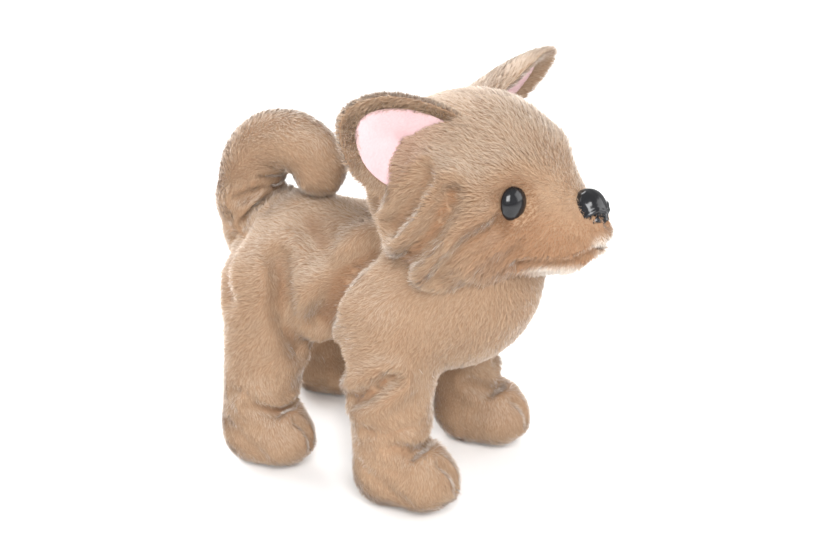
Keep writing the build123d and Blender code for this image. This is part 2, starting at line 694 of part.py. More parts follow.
def guide_screws():
    """Headed pins through the slots in the drive bars."""
    group = []
    for x, y, z in guide_places():
        side = 1 if x > 0 else -1
        out = side * (BAR_X + BAR_T + GAP / 2)
        pin = rod_x(y, z, side * (CH_X - WALL), out, GUIDE_R)
        head = rod_x(y, z, out, side * (LEG_INNER_X - GAP / 4), GUIDE_R + GUIDE_HEAD)
        group.append(pin + head)
    return Compound(children=group)


def leg_axles():
    """The two steel axles that carry the legs."""
    return Compound(children=[
        rod_x(hip_y, HIP_Z, -AXLE_X, AXLE_X, AXLE_R) for hip_y in (FRONT_HIP_Y, REAR_HIP_Y)])


def axle_caps():
    """Push-on caps that keep the legs on the axles."""
    group = []
    for side, hip_y, _, _, _ in LEGS.values():
        cap = rod_x(hip_y, HIP_Z, side * (AXLE_X - CAP_T), side * (AXLE_X + GAP), CAP_R)
        group.append(cap - rod_x(hip_y, HIP_Z, side * (AXLE_X - CAP_T), side * AXLE_X, AXLE_R))
    return Compound(children=group)


# ================================================================ batteries, switch, sound
def battery_box():
    """Tray under the chassis: the cell bay, and the switch pocket ahead of it."""
    solid = block(-BATT_X, BATT_X, BATT_Y0, BATT_Y1, BATT_Z0, CH_Z0)
    solid = fillet(solid.edges().filter_by(Axis.Z), BOX_CORNER)
    inner_x = BATT_X - BATT_WALL
    solid -= block(-inner_x, inner_x, BAY_Y0 + BATT_WALL, BATT_Y1 - BATT_WALL, BATT_Z0, CH_Z0 - BATT_WALL)
    solid -= block(-inner_x, inner_x, BATT_Y0 + BATT_WALL, BAY_Y0, BATT_Z0 + BATT_WALL, CH_Z0)
    reach = KNOB[0] + SWITCH_TRAVEL / 2 + GAP
    half = KNOB[1] + GAP
    return solid - block(-reach, reach, SWITCH_Y - half, SWITCH_Y + half, BATT_Z0, BATT_Z0 + BATT_WALL)


def cell(side):
    """One round cell along Y, with its positive nub."""
    y0 = BAY_Y0 + BATT_WALL + (SPRING_ROOM if side > 0 else NUB_L)
    body = Pos(side * CELL_X, y0 + CELL_L / 2, CELL_Z) * Rot(90, 0, 0) * Cylinder(CELL_R, CELL_L)
    body = chamfer(body.edges().filter_by(GeomType.CIRCLE), 0.4)
    nub_y = y0 + CELL_L + NUB_L / 2 if side > 0 else y0 - NUB_L / 2
    return body + Pos(side * CELL_X, nub_y, CELL_Z) * Rot(90, 0, 0) * Cylinder(NUB_R, NUB_L)


def battery_contacts():
    """Contact rings of the two cells: a coil at each flat end, drawn as stacked turns."""
    group = []
    for side in (-1, 1):
        start = BAY_Y0 + BATT_WALL if side > 0 else BATT_Y1 - BATT_WALL
        step = 1 if side > 0 else -1
        coil = None
        for turn in range(COIL_TURNS):
            radius = COIL_R - turn * COIL_TAPER
            y = start + step * (COIL_WIRE / 2 + turn * COIL_PITCH)
            ring = Cylinder(radius, COIL_WIRE) - Cylinder(radius - 1.1, COIL_WIRE)
            ring = Pos(side * CELL_X, y, CELL_Z) * Rot(90, 0, 0) * ring
            coil = ring if coil is None else coil + ring
        group.append(coil)
    return Compound(children=group)


def battery_cover():
    """Door under the cells, with a tongue ahead and a screw behind."""
    y0 = BAY_Y0 + OPENING_GAP / 2
    plate = block(-BATT_X, BATT_X, y0, BATT_Y1, BATT_Z0 - COVER_T, BATT_Z0)
    plate = fillet(plate.edges().filter_by(Axis.Z), BOX_CORNER)
    plate -= rod_z(0, cover_screw_y(), BATT_Z0 - COVER_T, BATT_Z0, SCREW_R)
    first, step, width, depth = GRIP
    for index in range(GRIP_LINES):
        y = y0 + first + index * step
        plate -= block(-6, 6, y, y + width, BATT_Z0 - COVER_T, BATT_Z0 - COVER_T + depth)
    return plate


def cover_screw_y():
    """Y of the screw that holds the battery door."""
    return BATT_Y1 - COVER_SCREW_IN


def cover_screw():
    """Captive screw of the battery door."""
    y = cover_screw_y()
    screw = rod_z(0, y, BATT_Z0 - COVER_T, BATT_Z0, SCREW_R)
    low = BATT_Z0 - COVER_T - COVER_HEAD_T
    head = rod_z(0, y, low, BATT_Z0 - COVER_T, SCREW_HEAD_R)
    for angle in (0, 90):
        slot = Rot(0, 0, angle) * Box(2 * SCREW_HEAD_R - 1.6, SCREW_SLOT, 1.0)
        head -= Pos(0, y, low) * slot
    return screw + head


def switch_body():
    """Slide switch case in the pocket ahead of the cells."""
    half_x, half_y, height = SWITCH_CASE
    z0 = BATT_Z0 + BATT_WALL + SWITCH_STAND
    case = block(-half_x, half_x, SWITCH_Y - half_y, SWITCH_Y + half_y, z0, z0 + height)
    track = KNOB[0] + SWITCH_TRAVEL / 2 + GAP
    half = KNOB[1] + GAP
    return case - block(-track, track, SWITCH_Y - half, SWITCH_Y + half, z0, z0 + KNOB[2])


def switch_slider():
    """Knob of the slide switch, at the off end of its travel."""
    half_x, half_y, depth = KNOB
    groove, groove_depth = KNOB_GRIP
    z0 = BATT_Z0 - KNOB_OUT
    z1 = BATT_Z0 + BATT_WALL + SWITCH_STAND + depth - GAP
    x = -SWITCH_TRAVEL / 2
    knob = block(x - half_x, x + half_x, SWITCH_Y - half_y, SWITCH_Y + half_y, z0, z1)
    for line in (x - 1, x, x + 1):
        left, right = line - groove, line + groove
        knob -= block(left, right, SWITCH_Y - half_y, SWITCH_Y + half_y, z0, z0 + groove_depth)
    return knob


def speaker():
    """Speaker frame and cone under the roof of the chassis."""
    top = CH_Z1 - WALL
    frame = rod_z(0, SPEAKER_Y, top - SPEAKER_T, top, SPEAKER_R)
    cone = Pos(0, SPEAKER_Y, top - CONE[2] / 2) * Cone(*CONE)
    return frame - cone


def speaker_magnet():
    """Magnet pot of the speaker."""
    top = CH_Z1 - WALL - SPEAKER_T
    return rod_z(0, SPEAKER_Y, top - MAGNET_T, top, MAGNET_R)


def board_edges():
    """Y limits of the control board, behind the crank wheel."""
    y0 = CRANK_Y + MODULE * CRANK_WHEEL_T / 2 + BOARD_GAP
    return y0, REAR_HIP_Y - AXLE_R - BOARD_GAP


def control_board():
    """Printed circuit board, level across the chassis."""
    y0, y1 = board_edges()
    x = CH_X - WALL - GAP
    board = block(-x, x, y0, y1, BOARD_Z, BOARD_Z + BOARD_T)
    inset, radius = BOARD_HOLE
    for hole_x in (-x + inset, x - inset):
        board -= rod_z(hole_x, y0 + inset, BOARD_Z, BOARD_Z + BOARD_T, radius)
    return board


def board_components():
    """Sound chip, capacitor and crystal on the board."""
    y0, y1 = board_edges()
    top = BOARD_Z + BOARD_T
    middle = (y0 + y1) / 2
    chip = block(-11, -4, middle - 4, middle + 4, top, top + 1.6)
    capacitor = rod_z(9, middle - 3, top, top + 5, 2.5)
    crystal = block(2, 5, middle + 2, middle + 6, top, top + 2.5)
    return Compound(children=[chip, capacitor, crystal])


# ================================================================ drive
def motor():
    """Small can motor across the chassis."""
    can = rod_x(MOTOR_Y, MOTOR_Z, MOTOR_X0, MOTOR_X1, MOTOR_R)
    can = chamfer(can.edges().filter_by(GeomType.CIRCLE), MOTOR_CHAMFER)
    boss_r, boss_l = MOTOR_NOSE
    end = MOTOR_X1 + boss_l
    boss = rod_x(MOTOR_Y, MOTOR_Z, MOTOR_X1, end, boss_r)
    return can + boss - rod_x(MOTOR_Y, MOTOR_Z, MOTOR_X1 - SHAFT_IN_MOTOR, end, GEAR_SHAFT_R + RUN)


def motor_pinion():
    """Pinion on the end of the motor shaft."""
    start = MOTOR_X1 + MOTOR_NOSE[1] + GAP
    half_gap = 180 / PINION_T
    phase = phase_towards(MOTOR_Y, MOTOR_Z, FIRST_Y, GEAR_Z) + half_gap
    wheel = gear(PINION_T, PINION_W, start, MOTOR_Y, MOTOR_Z, phase)
    inside = MOTOR_X1 - SHAFT_IN_MOTOR + GAP
    return wheel + rod_x(MOTOR_Y, MOTOR_Z, inside, start + PINION_W, GEAR_SHAFT_R)


def phase_towards(y0, z0, y1, z1):
    """Direction in Y and Z, in degrees, from one gear centre to another."""
    return degrees(atan2(z1 - z0, y1 - y0))


def compound_gear(y, wheel_x, pinion_teeth, wheel_phase, pinion_phase):
    """A wheel with a smaller pinion beside it, turning on a fixed shaft."""
    solid = gear(WHEEL_T, GEAR_W, wheel_x, y, GEAR_Z, wheel_phase)
    solid += gear(pinion_teeth, PINION_W, wheel_x + GEAR_W, y, GEAR_Z, pinion_phase)
    end = wheel_x + GEAR_W + PINION_W
    return solid - rod_x(y, GEAR_Z, wheel_x, end, GEAR_SHAFT_R + RUN)


def first_gear():
    """First reduction: a tooth of the wheel faces a gap of the motor pinion."""
    wheel_phase = phase_towards(FIRST_Y, GEAR_Z, MOTOR_Y, MOTOR_Z)
    return compound_gear(FIRST_Y, PLANE_1, PINION_T, wheel_phase, 180 / PINION_T)


def second_gear():
    """Second reduction, driving the crank wheel."""
    return compound_gear(SECOND_Y, PLANE_2, CRANK_PINION_T, 180, 180 / CRANK_PINION_T)


def gear_shafts():
    """Fixed steel shafts of the two compound gears."""
    end = CH_X - WALL
    return Compound(children=[rod_x(y, GEAR_Z, -end, end, GEAR_SHAFT_R) for y in (FIRST_Y, SECOND_Y)])


def crank_wheel():
    """Large wheel on the crank shaft: a tooth faces a gap of the pinion before it."""
    wheel = gear(CRANK_WHEEL_T, GEAR_W, PLANE_3, CRANK_Y, GEAR_Z, 180)
    hub_r, hub_l = CRANK_HUB
    end = PLANE_3 + GEAR_W + hub_l
    wheel += rod_x(CRANK_Y, GEAR_Z, PLANE_3 + GEAR_W, end, hub_r)
    return wheel - rod_x(CRANK_Y, GEAR_Z, PLANE_3, end, CRANK_SHAFT_R)


def crank_shaft():
    """Steel shaft through the crank wheel and both discs."""
    end = CH_X - WALL / 2
    return rod_x(CRANK_Y, GEAR_Z, -end, end, CRANK_SHAFT_R)


def crank_disc(side):
    """Disc in the chassis wall with its off-centre drive pin, half a turn from the other."""
    inner = side * (CH_X - WALL - CRANK_DISC_IN)
    disc = rod_x(CRANK_Y, GEAR_Z, inner, side * CH_X, CRANK_DISC_R)
    disc -= rod_x(CRANK_Y, GEAR_Z, inner, side * (CH_X - WALL / 2), CRANK_SHAFT_R)
    pin_y = CRANK_Y + side * THROW
    return disc + rod_x(pin_y, GEAR_Z, side * CH_X, side * (BAR_X - GAP), CRANK_PIN_R)


def drive_bar(side):
    """Bar that links the two legs of one side: over the front hip, under the rear hip."""
    name = "left" if side > 0 else "right"
    front = lever_pin_place(f"front_{name}")
    rear = lever_pin_place(f"rear_{name}")
    half = BAR_H / 2
    knee_y = REAR_HIP_Y - BOSS_R - KNEE_OF_BAR
    run = outline_between((front[0], FRONT_PIN_Z), half, (knee_y, FRONT_PIN_Z), half)
    run += outline_between((knee_y, FRONT_PIN_Z), half, (knee_y, REAR_PIN_Z), half)
    run += outline_between((knee_y, REAR_PIN_Z), half, (rear[0], REAR_PIN_Z), half)
    for pin in (front, rear):
        rise = LEVER_ARM * (1 - cos(radians(STRIDE / 2)))
        run -= pin_slot(pin[0], pin[1], rise, LEVER_PIN_R + SLOT_GAP)
    travel = 2 * THROW
    for guide_y in GUIDE_Y:
        low = min(0, -front_shift(name)) * travel
        high = max(0, -front_shift(name)) * travel
        run -= long_slot(guide_y + low, guide_y + high, FRONT_PIN_Z, GUIDE_R + SLOT_GAP)
    crank = outline_between((CRANK_Y + side * THROW, GEAR_Z - THROW), CRANK_PIN_R + SLOT_GAP,
                            (CRANK_Y + side * THROW, GEAR_Z + THROW), CRANK_PIN_R + SLOT_GAP)
    return extrude_x(run - crank, side * BAR_X, side * (BAR_X + BAR_T))


def front_shift(name):
    """Which way along Y the bar of a side moves as its front leg swings through its stride."""
    return -LEGS[f"front_{name}"][4]


def pin_slot(y, z, rise, radius):
    """Upright slot for a lever pin, long enough for its small rise and fall."""
    reach = rise + SLOT_SPARE
    return outline_between((y, z - reach), radius, (y, z + reach), radius)


def long_slot(y0, y1, z, radius):
    """Level slot for a guide pin, as long as the bar's travel."""
    return outline_between((y0 - GUIDE_SPARE, z), radius, (y1 + GUIDE_SPARE, z), radius)


# ================================================================ tail
def tail_sweep():
    """Room that the tail needs in the rump over its whole wag."""
    (first, radius), (second, second_r) = TAIL[0], TAIL[1]
    sketch = None
    for step in range(-2, 3):
        a = radians(step * WAG / 2)
        for centre, r in ((first, radius), (second, second_r)):
            reach = centre[1] - TAIL_Y
            place = Pos(-reach * sin(a), TAIL_Y + reach * cos(a))
            shape = place * Circle(r + 2 * SOFT_GAP)
            sketch = shape if sketch is None else sketch + shape
    low = first[2] - radius - SOFT_GAP
    return extrude(Plane.XY.offset(low) * sketch, amount=BEYOND)


def tail_core(grow=0.0):
    """Bent plastic core that holds the curl of the tail."""
    balls = [(centre, TAIL_CORE_R) for centre, _ in TAIL]
    return capsule_chain(balls, grow, CORE_SEAM)


def tail_lever(grow=0.0):
    """Arm on the tail pin that carries the tail core."""
    half = TAIL_LEVER_T / 2 + grow
    solid = rod_z(0, TAIL_Y, TAIL_Z - half, TAIL_Z + half, TAIL_LUG_R - 0.5 + grow)
    arm = TAIL_ARM + grow
    solid += block(-arm, arm, TAIL_Y, TAIL[0][0][1], TAIL_Z - half, TAIL_Z + half)
    solid -= rod_z(0, TAIL_Y, TAIL_Z - half, TAIL_Z + half, TAIL_PIN_R + RUN)
    return solid if grow else solid - tail_core(TAIL_PRESS)


def tail_pin():
    """Pin of the tail pivot."""
    reach = TAIL_LEVER_T / 2 + GAP + TAIL_LUG_T
    return rod_z(0, TAIL_Y, TAIL_Z - reach, TAIL_Z + reach, TAIL_PIN_R)


def tail_skin():
    """Plush tail, hollow for its core and trimmed round the pivot."""
    low, high, extra = TAIL_TRIM
    solid = capsule_chain(TAIL, 0, TAIL_SEAM)
    solid -= rod_z(0, TAIL_Y, TAIL_Z + low, TAIL_Z + high, TAIL_LUG_R + extra)
    return solid - tail_core(CAVITY_GAP) - tail_lever(CAVITY_GAP)


def neck_pin():
    """Pin of the neck pivot."""
    reach = YOKE_X + GAP + LUG_T
    return rod_x(NECK_Y, NECK_Z, -reach, reach, AXLE_R)


# ================================================================ the whole toy
def build():
    """Every named node of the toy."""
    shell = chassis_shell()
    nodes = {
        "torso_skin": torso_skin(),
        "chest_wadding": chest_wadding(),
        "chassis_left_half": chassis_half(shell, 1),
        "chassis_right_half": chassis_half(shell, -1),
        "chassis_screws": chassis_screws(),
        "guide_pins": guide_screws(),
        "leg_axles": leg_axles(),
        "axle_caps": axle_caps(),
        "battery_box": battery_box(),
        "battery_cells": Compound(children=[cell(-1), cell(1)]),
        "battery_contacts": battery_contacts(),
        "battery_cover": battery_cover(),
        "battery_cover_screw": cover_screw(),
        "switch_body": switch_body(),
        "switch_slider": switch_slider(),
        "speaker": speaker(),
        "speaker_magnet": speaker_magnet(),
        "control_board": control_board(),
        "board_components": board_components(),
        "motor": motor(),
        "motor_pinion": motor_pinion(),
        "first_gear": first_gear(),
        "second_gear": second_gear(),
        "gear_shafts": gear_shafts(),
        "crank_wheel": crank_wheel(),
        "crank_shaft": crank_shaft(),
        "neck_pin": neck_pin(),
        "neck_yoke": neck_yoke(),
        "head_skin": head_skin(),
        "muzzle_wadding": muzzle_wadding(),
        "nose": nose(),
        "tail_pin": tail_pin(),
        "tail_lever": tail_lever(),
        "tail_core": tail_core(),
        "tail_skin": tail_skin(),
        "face_washers": Compound(children=[eye_washer(-1), eye_washer(1), nose_washer()]),
    }
    for side, word in ((1, "left"), (-1, "right")):
        nodes[f"skull_{word}_half"] = skull_half(side)
        nodes[f"{word}_eye"] = eye(side)
        nodes[f"{word}_ear"] = ear(side)
        nodes[f"{word}_ear_lining"] = ear_lining(side)
        nodes[f"crank_disc_{word}"] = crank_disc(side)
        nodes[f"drive_bar_{word}"] = drive_bar(side)
    for name in LEGS:
        nodes[f"{name}_leg_core"] = leg_core(name)
        nodes[f"{name}_leg_skin"] = leg_skin(name)
        nodes[f"{name}_paw_wadding"] = paw_wadding(name)
    return nodes


export(build())
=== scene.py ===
# %% [markdown]
# # A walking plush puppy
# The real toy is a sewn plush coat over a small geared machine. The machine comes ready made from
# the CAD frame: chassis, motor, gears, legs, neck yoke and tail core. This lesson sews the coat
# around it. The torso, legs and tail are one smooth stuffed form, cut into pieces where the toy
# moves. The head is a second form, and short pile grows on both as real strands of mesh.
# Sizes are in millimetres, and MM turns them into Blender's metres.

# %% Load the frame
import json
import math
import bpy
import numpy as np
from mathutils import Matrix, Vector


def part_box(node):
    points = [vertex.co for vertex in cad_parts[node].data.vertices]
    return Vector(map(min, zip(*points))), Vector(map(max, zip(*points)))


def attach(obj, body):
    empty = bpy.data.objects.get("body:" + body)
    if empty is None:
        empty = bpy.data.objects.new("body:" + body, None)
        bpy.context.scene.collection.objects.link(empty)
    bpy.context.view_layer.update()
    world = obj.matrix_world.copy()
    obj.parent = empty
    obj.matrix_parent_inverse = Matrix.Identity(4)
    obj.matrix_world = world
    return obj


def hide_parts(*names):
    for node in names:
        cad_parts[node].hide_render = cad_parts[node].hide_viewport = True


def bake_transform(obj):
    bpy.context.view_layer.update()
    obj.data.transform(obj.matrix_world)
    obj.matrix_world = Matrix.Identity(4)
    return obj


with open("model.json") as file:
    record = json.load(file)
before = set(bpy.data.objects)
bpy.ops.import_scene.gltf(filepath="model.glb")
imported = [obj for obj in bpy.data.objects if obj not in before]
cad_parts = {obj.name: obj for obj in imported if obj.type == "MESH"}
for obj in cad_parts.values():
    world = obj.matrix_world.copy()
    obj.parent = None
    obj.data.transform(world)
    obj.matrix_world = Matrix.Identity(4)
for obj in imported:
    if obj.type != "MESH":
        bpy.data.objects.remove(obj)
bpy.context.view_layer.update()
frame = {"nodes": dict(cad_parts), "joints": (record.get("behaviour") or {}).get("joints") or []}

MM = 0.001


# %% [markdown]
# ## Places taken from the frame
# Every driving place comes from the CAD: the hip axles from the leg joints, the eyes and the nose
# from their boxes, the belly opening from the battery cover. So the coat follows the machine.

# %% Places of the machine
def node_box(name):
    """Lowest and highest corner of a CAD node, in millimetres."""
    low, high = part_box(name)
    return np.array(low) / MM, np.array(high) / MM


def node_centre(name):
    """Middle of a CAD node, in millimetres."""
    low, high = node_box(name)
    return (low + high) / 2


PIVOTS = {j["name"]: np.array(j["pos_m"]) / MM for j in frame["joints"] if "pos_m" in j}
LEGS = ("front_left", "front_right", "rear_left", "rear_right")
HIPS = {leg: PIVOTS[f"{leg}_leg_swing"] for leg in LEGS}
COVER_LOW, COVER_HIGH = node_box("battery_cover")
EYES = {side: node_centre(f"{side}_eye") for side in ("left", "right")}
NOSE = node_centre("nose")
SIDES = {"left": 1, "right": -1}
print("hips:", {leg: place.round(1).tolist() for leg, place in HIPS.items()})


# %% [markdown]
# ## Stuffed forms as distances
# A stuffed toy has no hard edges, so each form starts as a distance: how far a point is from the
# surface, negative inside. Tubes with ball ends make limbs, melt() joins two forms with a soft
# valley as stuffing does, and fold() presses a crease in and puffs the cloth up beside it.

# %% Distances
def link(points, start, end):
    """Distance to a tapered tube with ball ends. Each end is (x, y, z, radius)."""
    a, b = np.array(start[:3], float), np.array(end[:3], float)
    axis = b - a
    along = np.clip((points - a) @ axis / (axis @ axis), 0, 1)
    away = np.linalg.norm(points - a - along[:, None] * axis, axis=1)
    return away - start[3] - along * (end[3] - start[3])


def smooth_path(knots, steps=4):
    """A curve through every knot: Catmull and Rom's spline, with steps links between knots."""
    k = np.array(knots, float)
    k = np.vstack([2 * k[0] - k[1], k, 2 * k[-1] - k[-2]])
    out = []
    for a, b, c, d in zip(k, k[1:], k[2:], k[3:]):
        for t in np.arange(steps) / steps:
            out.append(0.5 * (2 * b + (c - a) * t + (2 * a - 5 * b + 4 * c - d) * t**2
                              + (3 * b - a - 3 * c + d) * t**3))
    return np.array(out + [k[-2]])


FAR = 60.0  # stands for any distance too large to matter


def only_near(points, path, reach, measure, elsewhere):
    """Runs measure on the points within reach of a path's box, which saves most of the work."""
    near = np.all((points > path.min(axis=0) - reach) & (points < path.max(axis=0) + reach), axis=1)
    out = np.full(len(points), elsewhere)
    if near.any():
        out[near] = measure(points[near])
    return out


def limb(points, knots, steps=4):
    """Distance to a tube that follows a smooth path of balls."""
    path = smooth_path(knots, steps)
    reach = path[:, 3].max() + 14

    def measure(near):
        return np.min([link(near, a, b) for a, b in zip(path, path[1:])], axis=0)
    return only_near(points, path[:, :3], reach, measure, FAR)


def melt(one, other, soft):
    """Joins two distances with a valley about soft wide."""
    share = np.clip(0.5 + 0.5 * (other - one) / soft, 0, 1)
    return other + (one - other) * share - soft * share * (1 - share)


def fold(points, line, depth, width):
    """How far a crease along a line presses the surface in. Its sides puff out a little."""
    path = np.column_stack([smooth_path(line, 3), np.zeros(3 * (len(line) - 1) + 1)])

    def measure(near):
        away = np.min([link(near, a, b) for a, b in zip(path, path[1:])], axis=0)
        press = np.exp(-((away / width) ** 2))
        puff = np.exp(-(((away - 2.1 * width) / width) ** 2))
        return depth * (press - 0.45 * puff)
    return only_near(points, path[:, :3], 4.5 * width, measure, 0.0)


LAY_ROUNDS, LAY_STEP = 8, 6.0  # small steps, so that a line isn't thrown past a narrow form


def laid(distance, line):
    """A crease's line slid onto a form, so that it presses where the cloth is."""
    points = np.array(line, float)
    for _ in range(LAY_ROUNDS):
        here, normals = slope(distance, points)
        points = points - np.clip(here, -LAY_STEP, LAY_STEP)[:, None] * normals
    return [tuple(point) for point in points]


def lumps(points, size, seed):
    """Slow unevenness from -1 to 1, with bumps about size across."""
    rng = np.random.default_rng(seed)
    total = np.zeros(len(points))
    for _ in range(5):
        direction = rng.normal(size=3)
        direction *= 2 * math.pi / (size * rng.uniform(1.4, 2.6) * np.linalg.norm(direction))
        total += np.sin(points @ direction + rng.uniform(0, 2 * math.pi))
    return total / 3.2


# %% [markdown]
# ## From distance to mesh
# The surface is found on a grid: each grid cell that the surface passes through gets one point,
# and each grid edge that it crosses gets one four-sided face. The points then slide onto the exact
# surface.

# %% Meshing
def slope(distance, points, step=0.3):
    """The distance, and the direction in which it grows, which is the surface normal."""
    here = distance(points)
    ahead = [distance(points + step * offset) for offset in np.eye(3)]
    out = np.stack(ahead, 1) - here[:, None]
    return here, out / np.maximum(np.linalg.norm(out, axis=1), 1e-9)[:, None]


def settle(distance, points, rounds=2):
    """Slides points along the slope until they lie on the surface."""
    for _ in range(rounds):
        here, normals = slope(distance, points)
        points = points - here[:, None] * normals
    return points


def surface_of(distance, low, high, cell):
    """Quads on the zero surface of a distance, between two corners."""
    axes = [np.arange(a, b + cell, cell) for a, b in zip(low, high)]
    grid = np.stack(np.meshgrid(*axes, indexing="ij"), -1)
    layers = [distance(layer.reshape(-1, 3)).reshape(layer.shape[:2]) for layer in grid]
    inside = np.array(layers) < 0
    filled = sum(inside[i:inside.shape[0] - 1 + i, j:inside.shape[1] - 1 + j, k:inside.shape[2] - 1 + k]
                 .astype(int) for i in (0, 1) for j in (0, 1) for k in (0, 1))
    crossed = (filled > 0) & (filled < 8)
    number = np.full(crossed.shape, -1)
    number[crossed] = np.arange(crossed.sum())
    points = np.array(low) + (np.argwhere(crossed) + 0.5) * cell
    quads = []
    for axis in range(3):
        turned = np.moveaxis(inside, axis, 0)
        cells = np.moveaxis(number, axis, 0)
        change = turned[1:, 1:-1, 1:-1].astype(int) - turned[:-1, 1:-1, 1:-1]
        i, j, k = np.nonzero(change)
        ring = [cells[i, j, k], cells[i, j + 1, k], cells[i, j + 1, k + 1], cells[i, j, k + 1]]
        quad = np.stack(ring, 1)
        flip = (change[i, j, k] > 0) != (axis == 1)
        quad[flip] = quad[flip][:, ::-1]
        quads.append(quad)
    return relax(distance, points, np.vstack(quads))


RELAX = 0.6  # share of the way that a point moves to its neighbours' middle


def relax(distance, points, quads, rounds=2):
    """Evens out the mesh: each point moves to the middle of its neighbours and back on the surface."""
    edges = np.vstack([quads[:, [i, (i + 1) % 4]] for i in range(4)])
    count = np.bincount(edges.ravel(), minlength=len(points))
    points = settle(distance, points)
    for _ in range(rounds):
        total = np.zeros_like(points)
        np.add.at(total, edges[:, 0], points[edges[:, 1]])
        np.add.at(total, edges[:, 1], points[edges[:, 0]])
        middle = total / np.maximum(count, 1)[:, None]
        points = settle(distance, points + RELAX * (middle - points), 1)
    return settle(distance, points, 2), quads


def part_of(points, faces, keep):
    """The faces that keep is true for, with only the points they use."""
    faces = faces[keep]
    used, renumbered = np.unique(faces, return_inverse=True)
    return points[used], renumbered.reshape(faces.shape)


def mesh_object(name, points, faces, normals=None):
    """A mesh object from points in millimetres. Its normals can come from the stuffed form."""
    mesh = bpy.data.meshes.new(name)
    mesh.vertices.add(len(points))
    mesh.vertices.foreach_set("co", (points * MM).astype(np.float32).ravel())
    corners = np.concatenate([np.asarray(f, np.int32).ravel() for f in faces])
    sizes = np.concatenate([np.full(len(f), f.shape[1], np.int32) for f in faces])
    mesh.loops.add(len(corners))
    mesh.loops.foreach_set("vertex_index", corners)
    mesh.polygons.add(len(sizes))
    starts = np.concatenate([[0], np.cumsum(sizes)[:-1]]).astype(np.int32)
    mesh.polygons.foreach_set("loop_start", starts)
    mesh.polygons.foreach_set("use_smooth", np.ones(len(sizes), bool))
    mesh.update(calc_edges=True)
    if normals is not None:
        mesh.normals_split_custom_set_from_vertices(normals.astype(np.float32).tolist())
    piece = bpy.data.objects.new(name, mesh)
    bpy.context.scene.collection.objects.link(piece)
    return piece


# %% [markdown]
# ## Torso, legs and tail
# The barrel is deepest at the chest and tucks up at the waist. Each leg is a straight stuffed tube
# that ends in a foot turned forward like the toe of a sock. The tail stands up and curls over.

# %% Body measures
BARREL = [(0, 50, 95, 32), (0, 32, 94, 31.5), (0, 12, 94, 32), (0, -8, 96, 34), (0, -27, 98, 37),
          (0, -36, 108, 34), (0, -37, 124, 30)]
HAUNCH_R = 22
HIP_OUT = 30  # X of a leg at the hip
KNEE_Z = 44
SHIN_R = 17.2
HEEL_R = 16.2
TOE_R = 15.2
FEET = {"front_left": (32, -22, -38), "front_right": (35, -16, -34),
        "rear_left": (34, 71, 57), "rear_right": (37, 58, 44)}
TAIL = [(0, 76, 92, 15), (0, 82, 104, 15), (0, 85, 120, 15.2), (0, 81, 136, 15), (0, 72, 147.5, 14.5),
        (0, 60, 152, 14), (0, 49, 150, 13.2), (0, 43, 143, 12)]


def leg_knots(leg):
    """Balls down one leg, from inside the haunch to the tip of the toe."""
    side = math.copysign(1, HIPS[leg][0])
    hip_y = HIPS[leg][1]
    out, heel_y, _ = FEET[leg]
    knee_y = hip_y + 0.45 * (heel_y - hip_y)
    return [(side * 24, hip_y, 90, HAUNCH_R), (side * 29, 0.5 * (hip_y + knee_y), 66, HAUNCH_R - 2.5),
            (side * (0.4 * HIP_OUT + 0.6 * out), knee_y, KNEE_Z, SHIN_R),
            (side * out, heel_y, HEEL_R + 6, HEEL_R), (side * out, heel_y, HEEL_R, HEEL_R)]


def leg_distance(points, leg):
    """One leg and its foot."""
    out, heel_y, toe_y = FEET[leg]
    x = math.copysign(out, HIPS[leg][0])
    tube = limb(points, leg_knots(leg), 3)
    foot = limb(points, [(x, heel_y, HEEL_R, HEEL_R), (x, toe_y, TOE_R + 1.5, TOE_R)], 1)
    return melt(tube, foot, 3)


# %% [markdown]
# The coat is cut a little large for the machine, so it hangs in folds: long ones from the back down
# the flank, rings of them where the tail bends, and a deep one in front of each ankle. laid()
# slides the folds of the flanks and tail on to the cloth.

# %% Folds of the body
def leg_folds(points, leg):
    """Creases of one leg: at the ankle, round the gathered toe, and at the elbow."""
    out, heel_y, toe_y = FEET[leg]
    side = math.copysign(1, HIPS[leg][0])
    x = side * out
    ankle = [(x - 15, heel_y - 8, 39), (x, heel_y - 16.5, 31), (x + 15, heel_y - 8, 39)]
    wrist = [(x + side * 16, heel_y + 4, 44), (x + side * 12, heel_y - 8, 45), (x, heel_y - 13, 47)]
    gather = [(x - 3, toe_y - 9, 28), (x, toe_y - 14, 22), (x + 2, toe_y - 14.5, 14)]
    stripe = [(x + side * 15, heel_y + 7, 25), (x + side * 16, heel_y - 5, 19),
              (x + side * 14.5, toe_y + 2, 12)]
    return (fold(points, ankle, 3.0, 3.2) + fold(points, wrist, 1.6, 2.4)
            + fold(points, gather, 2.0, 1.9) + fold(points, stripe, 1.0, 3.0))


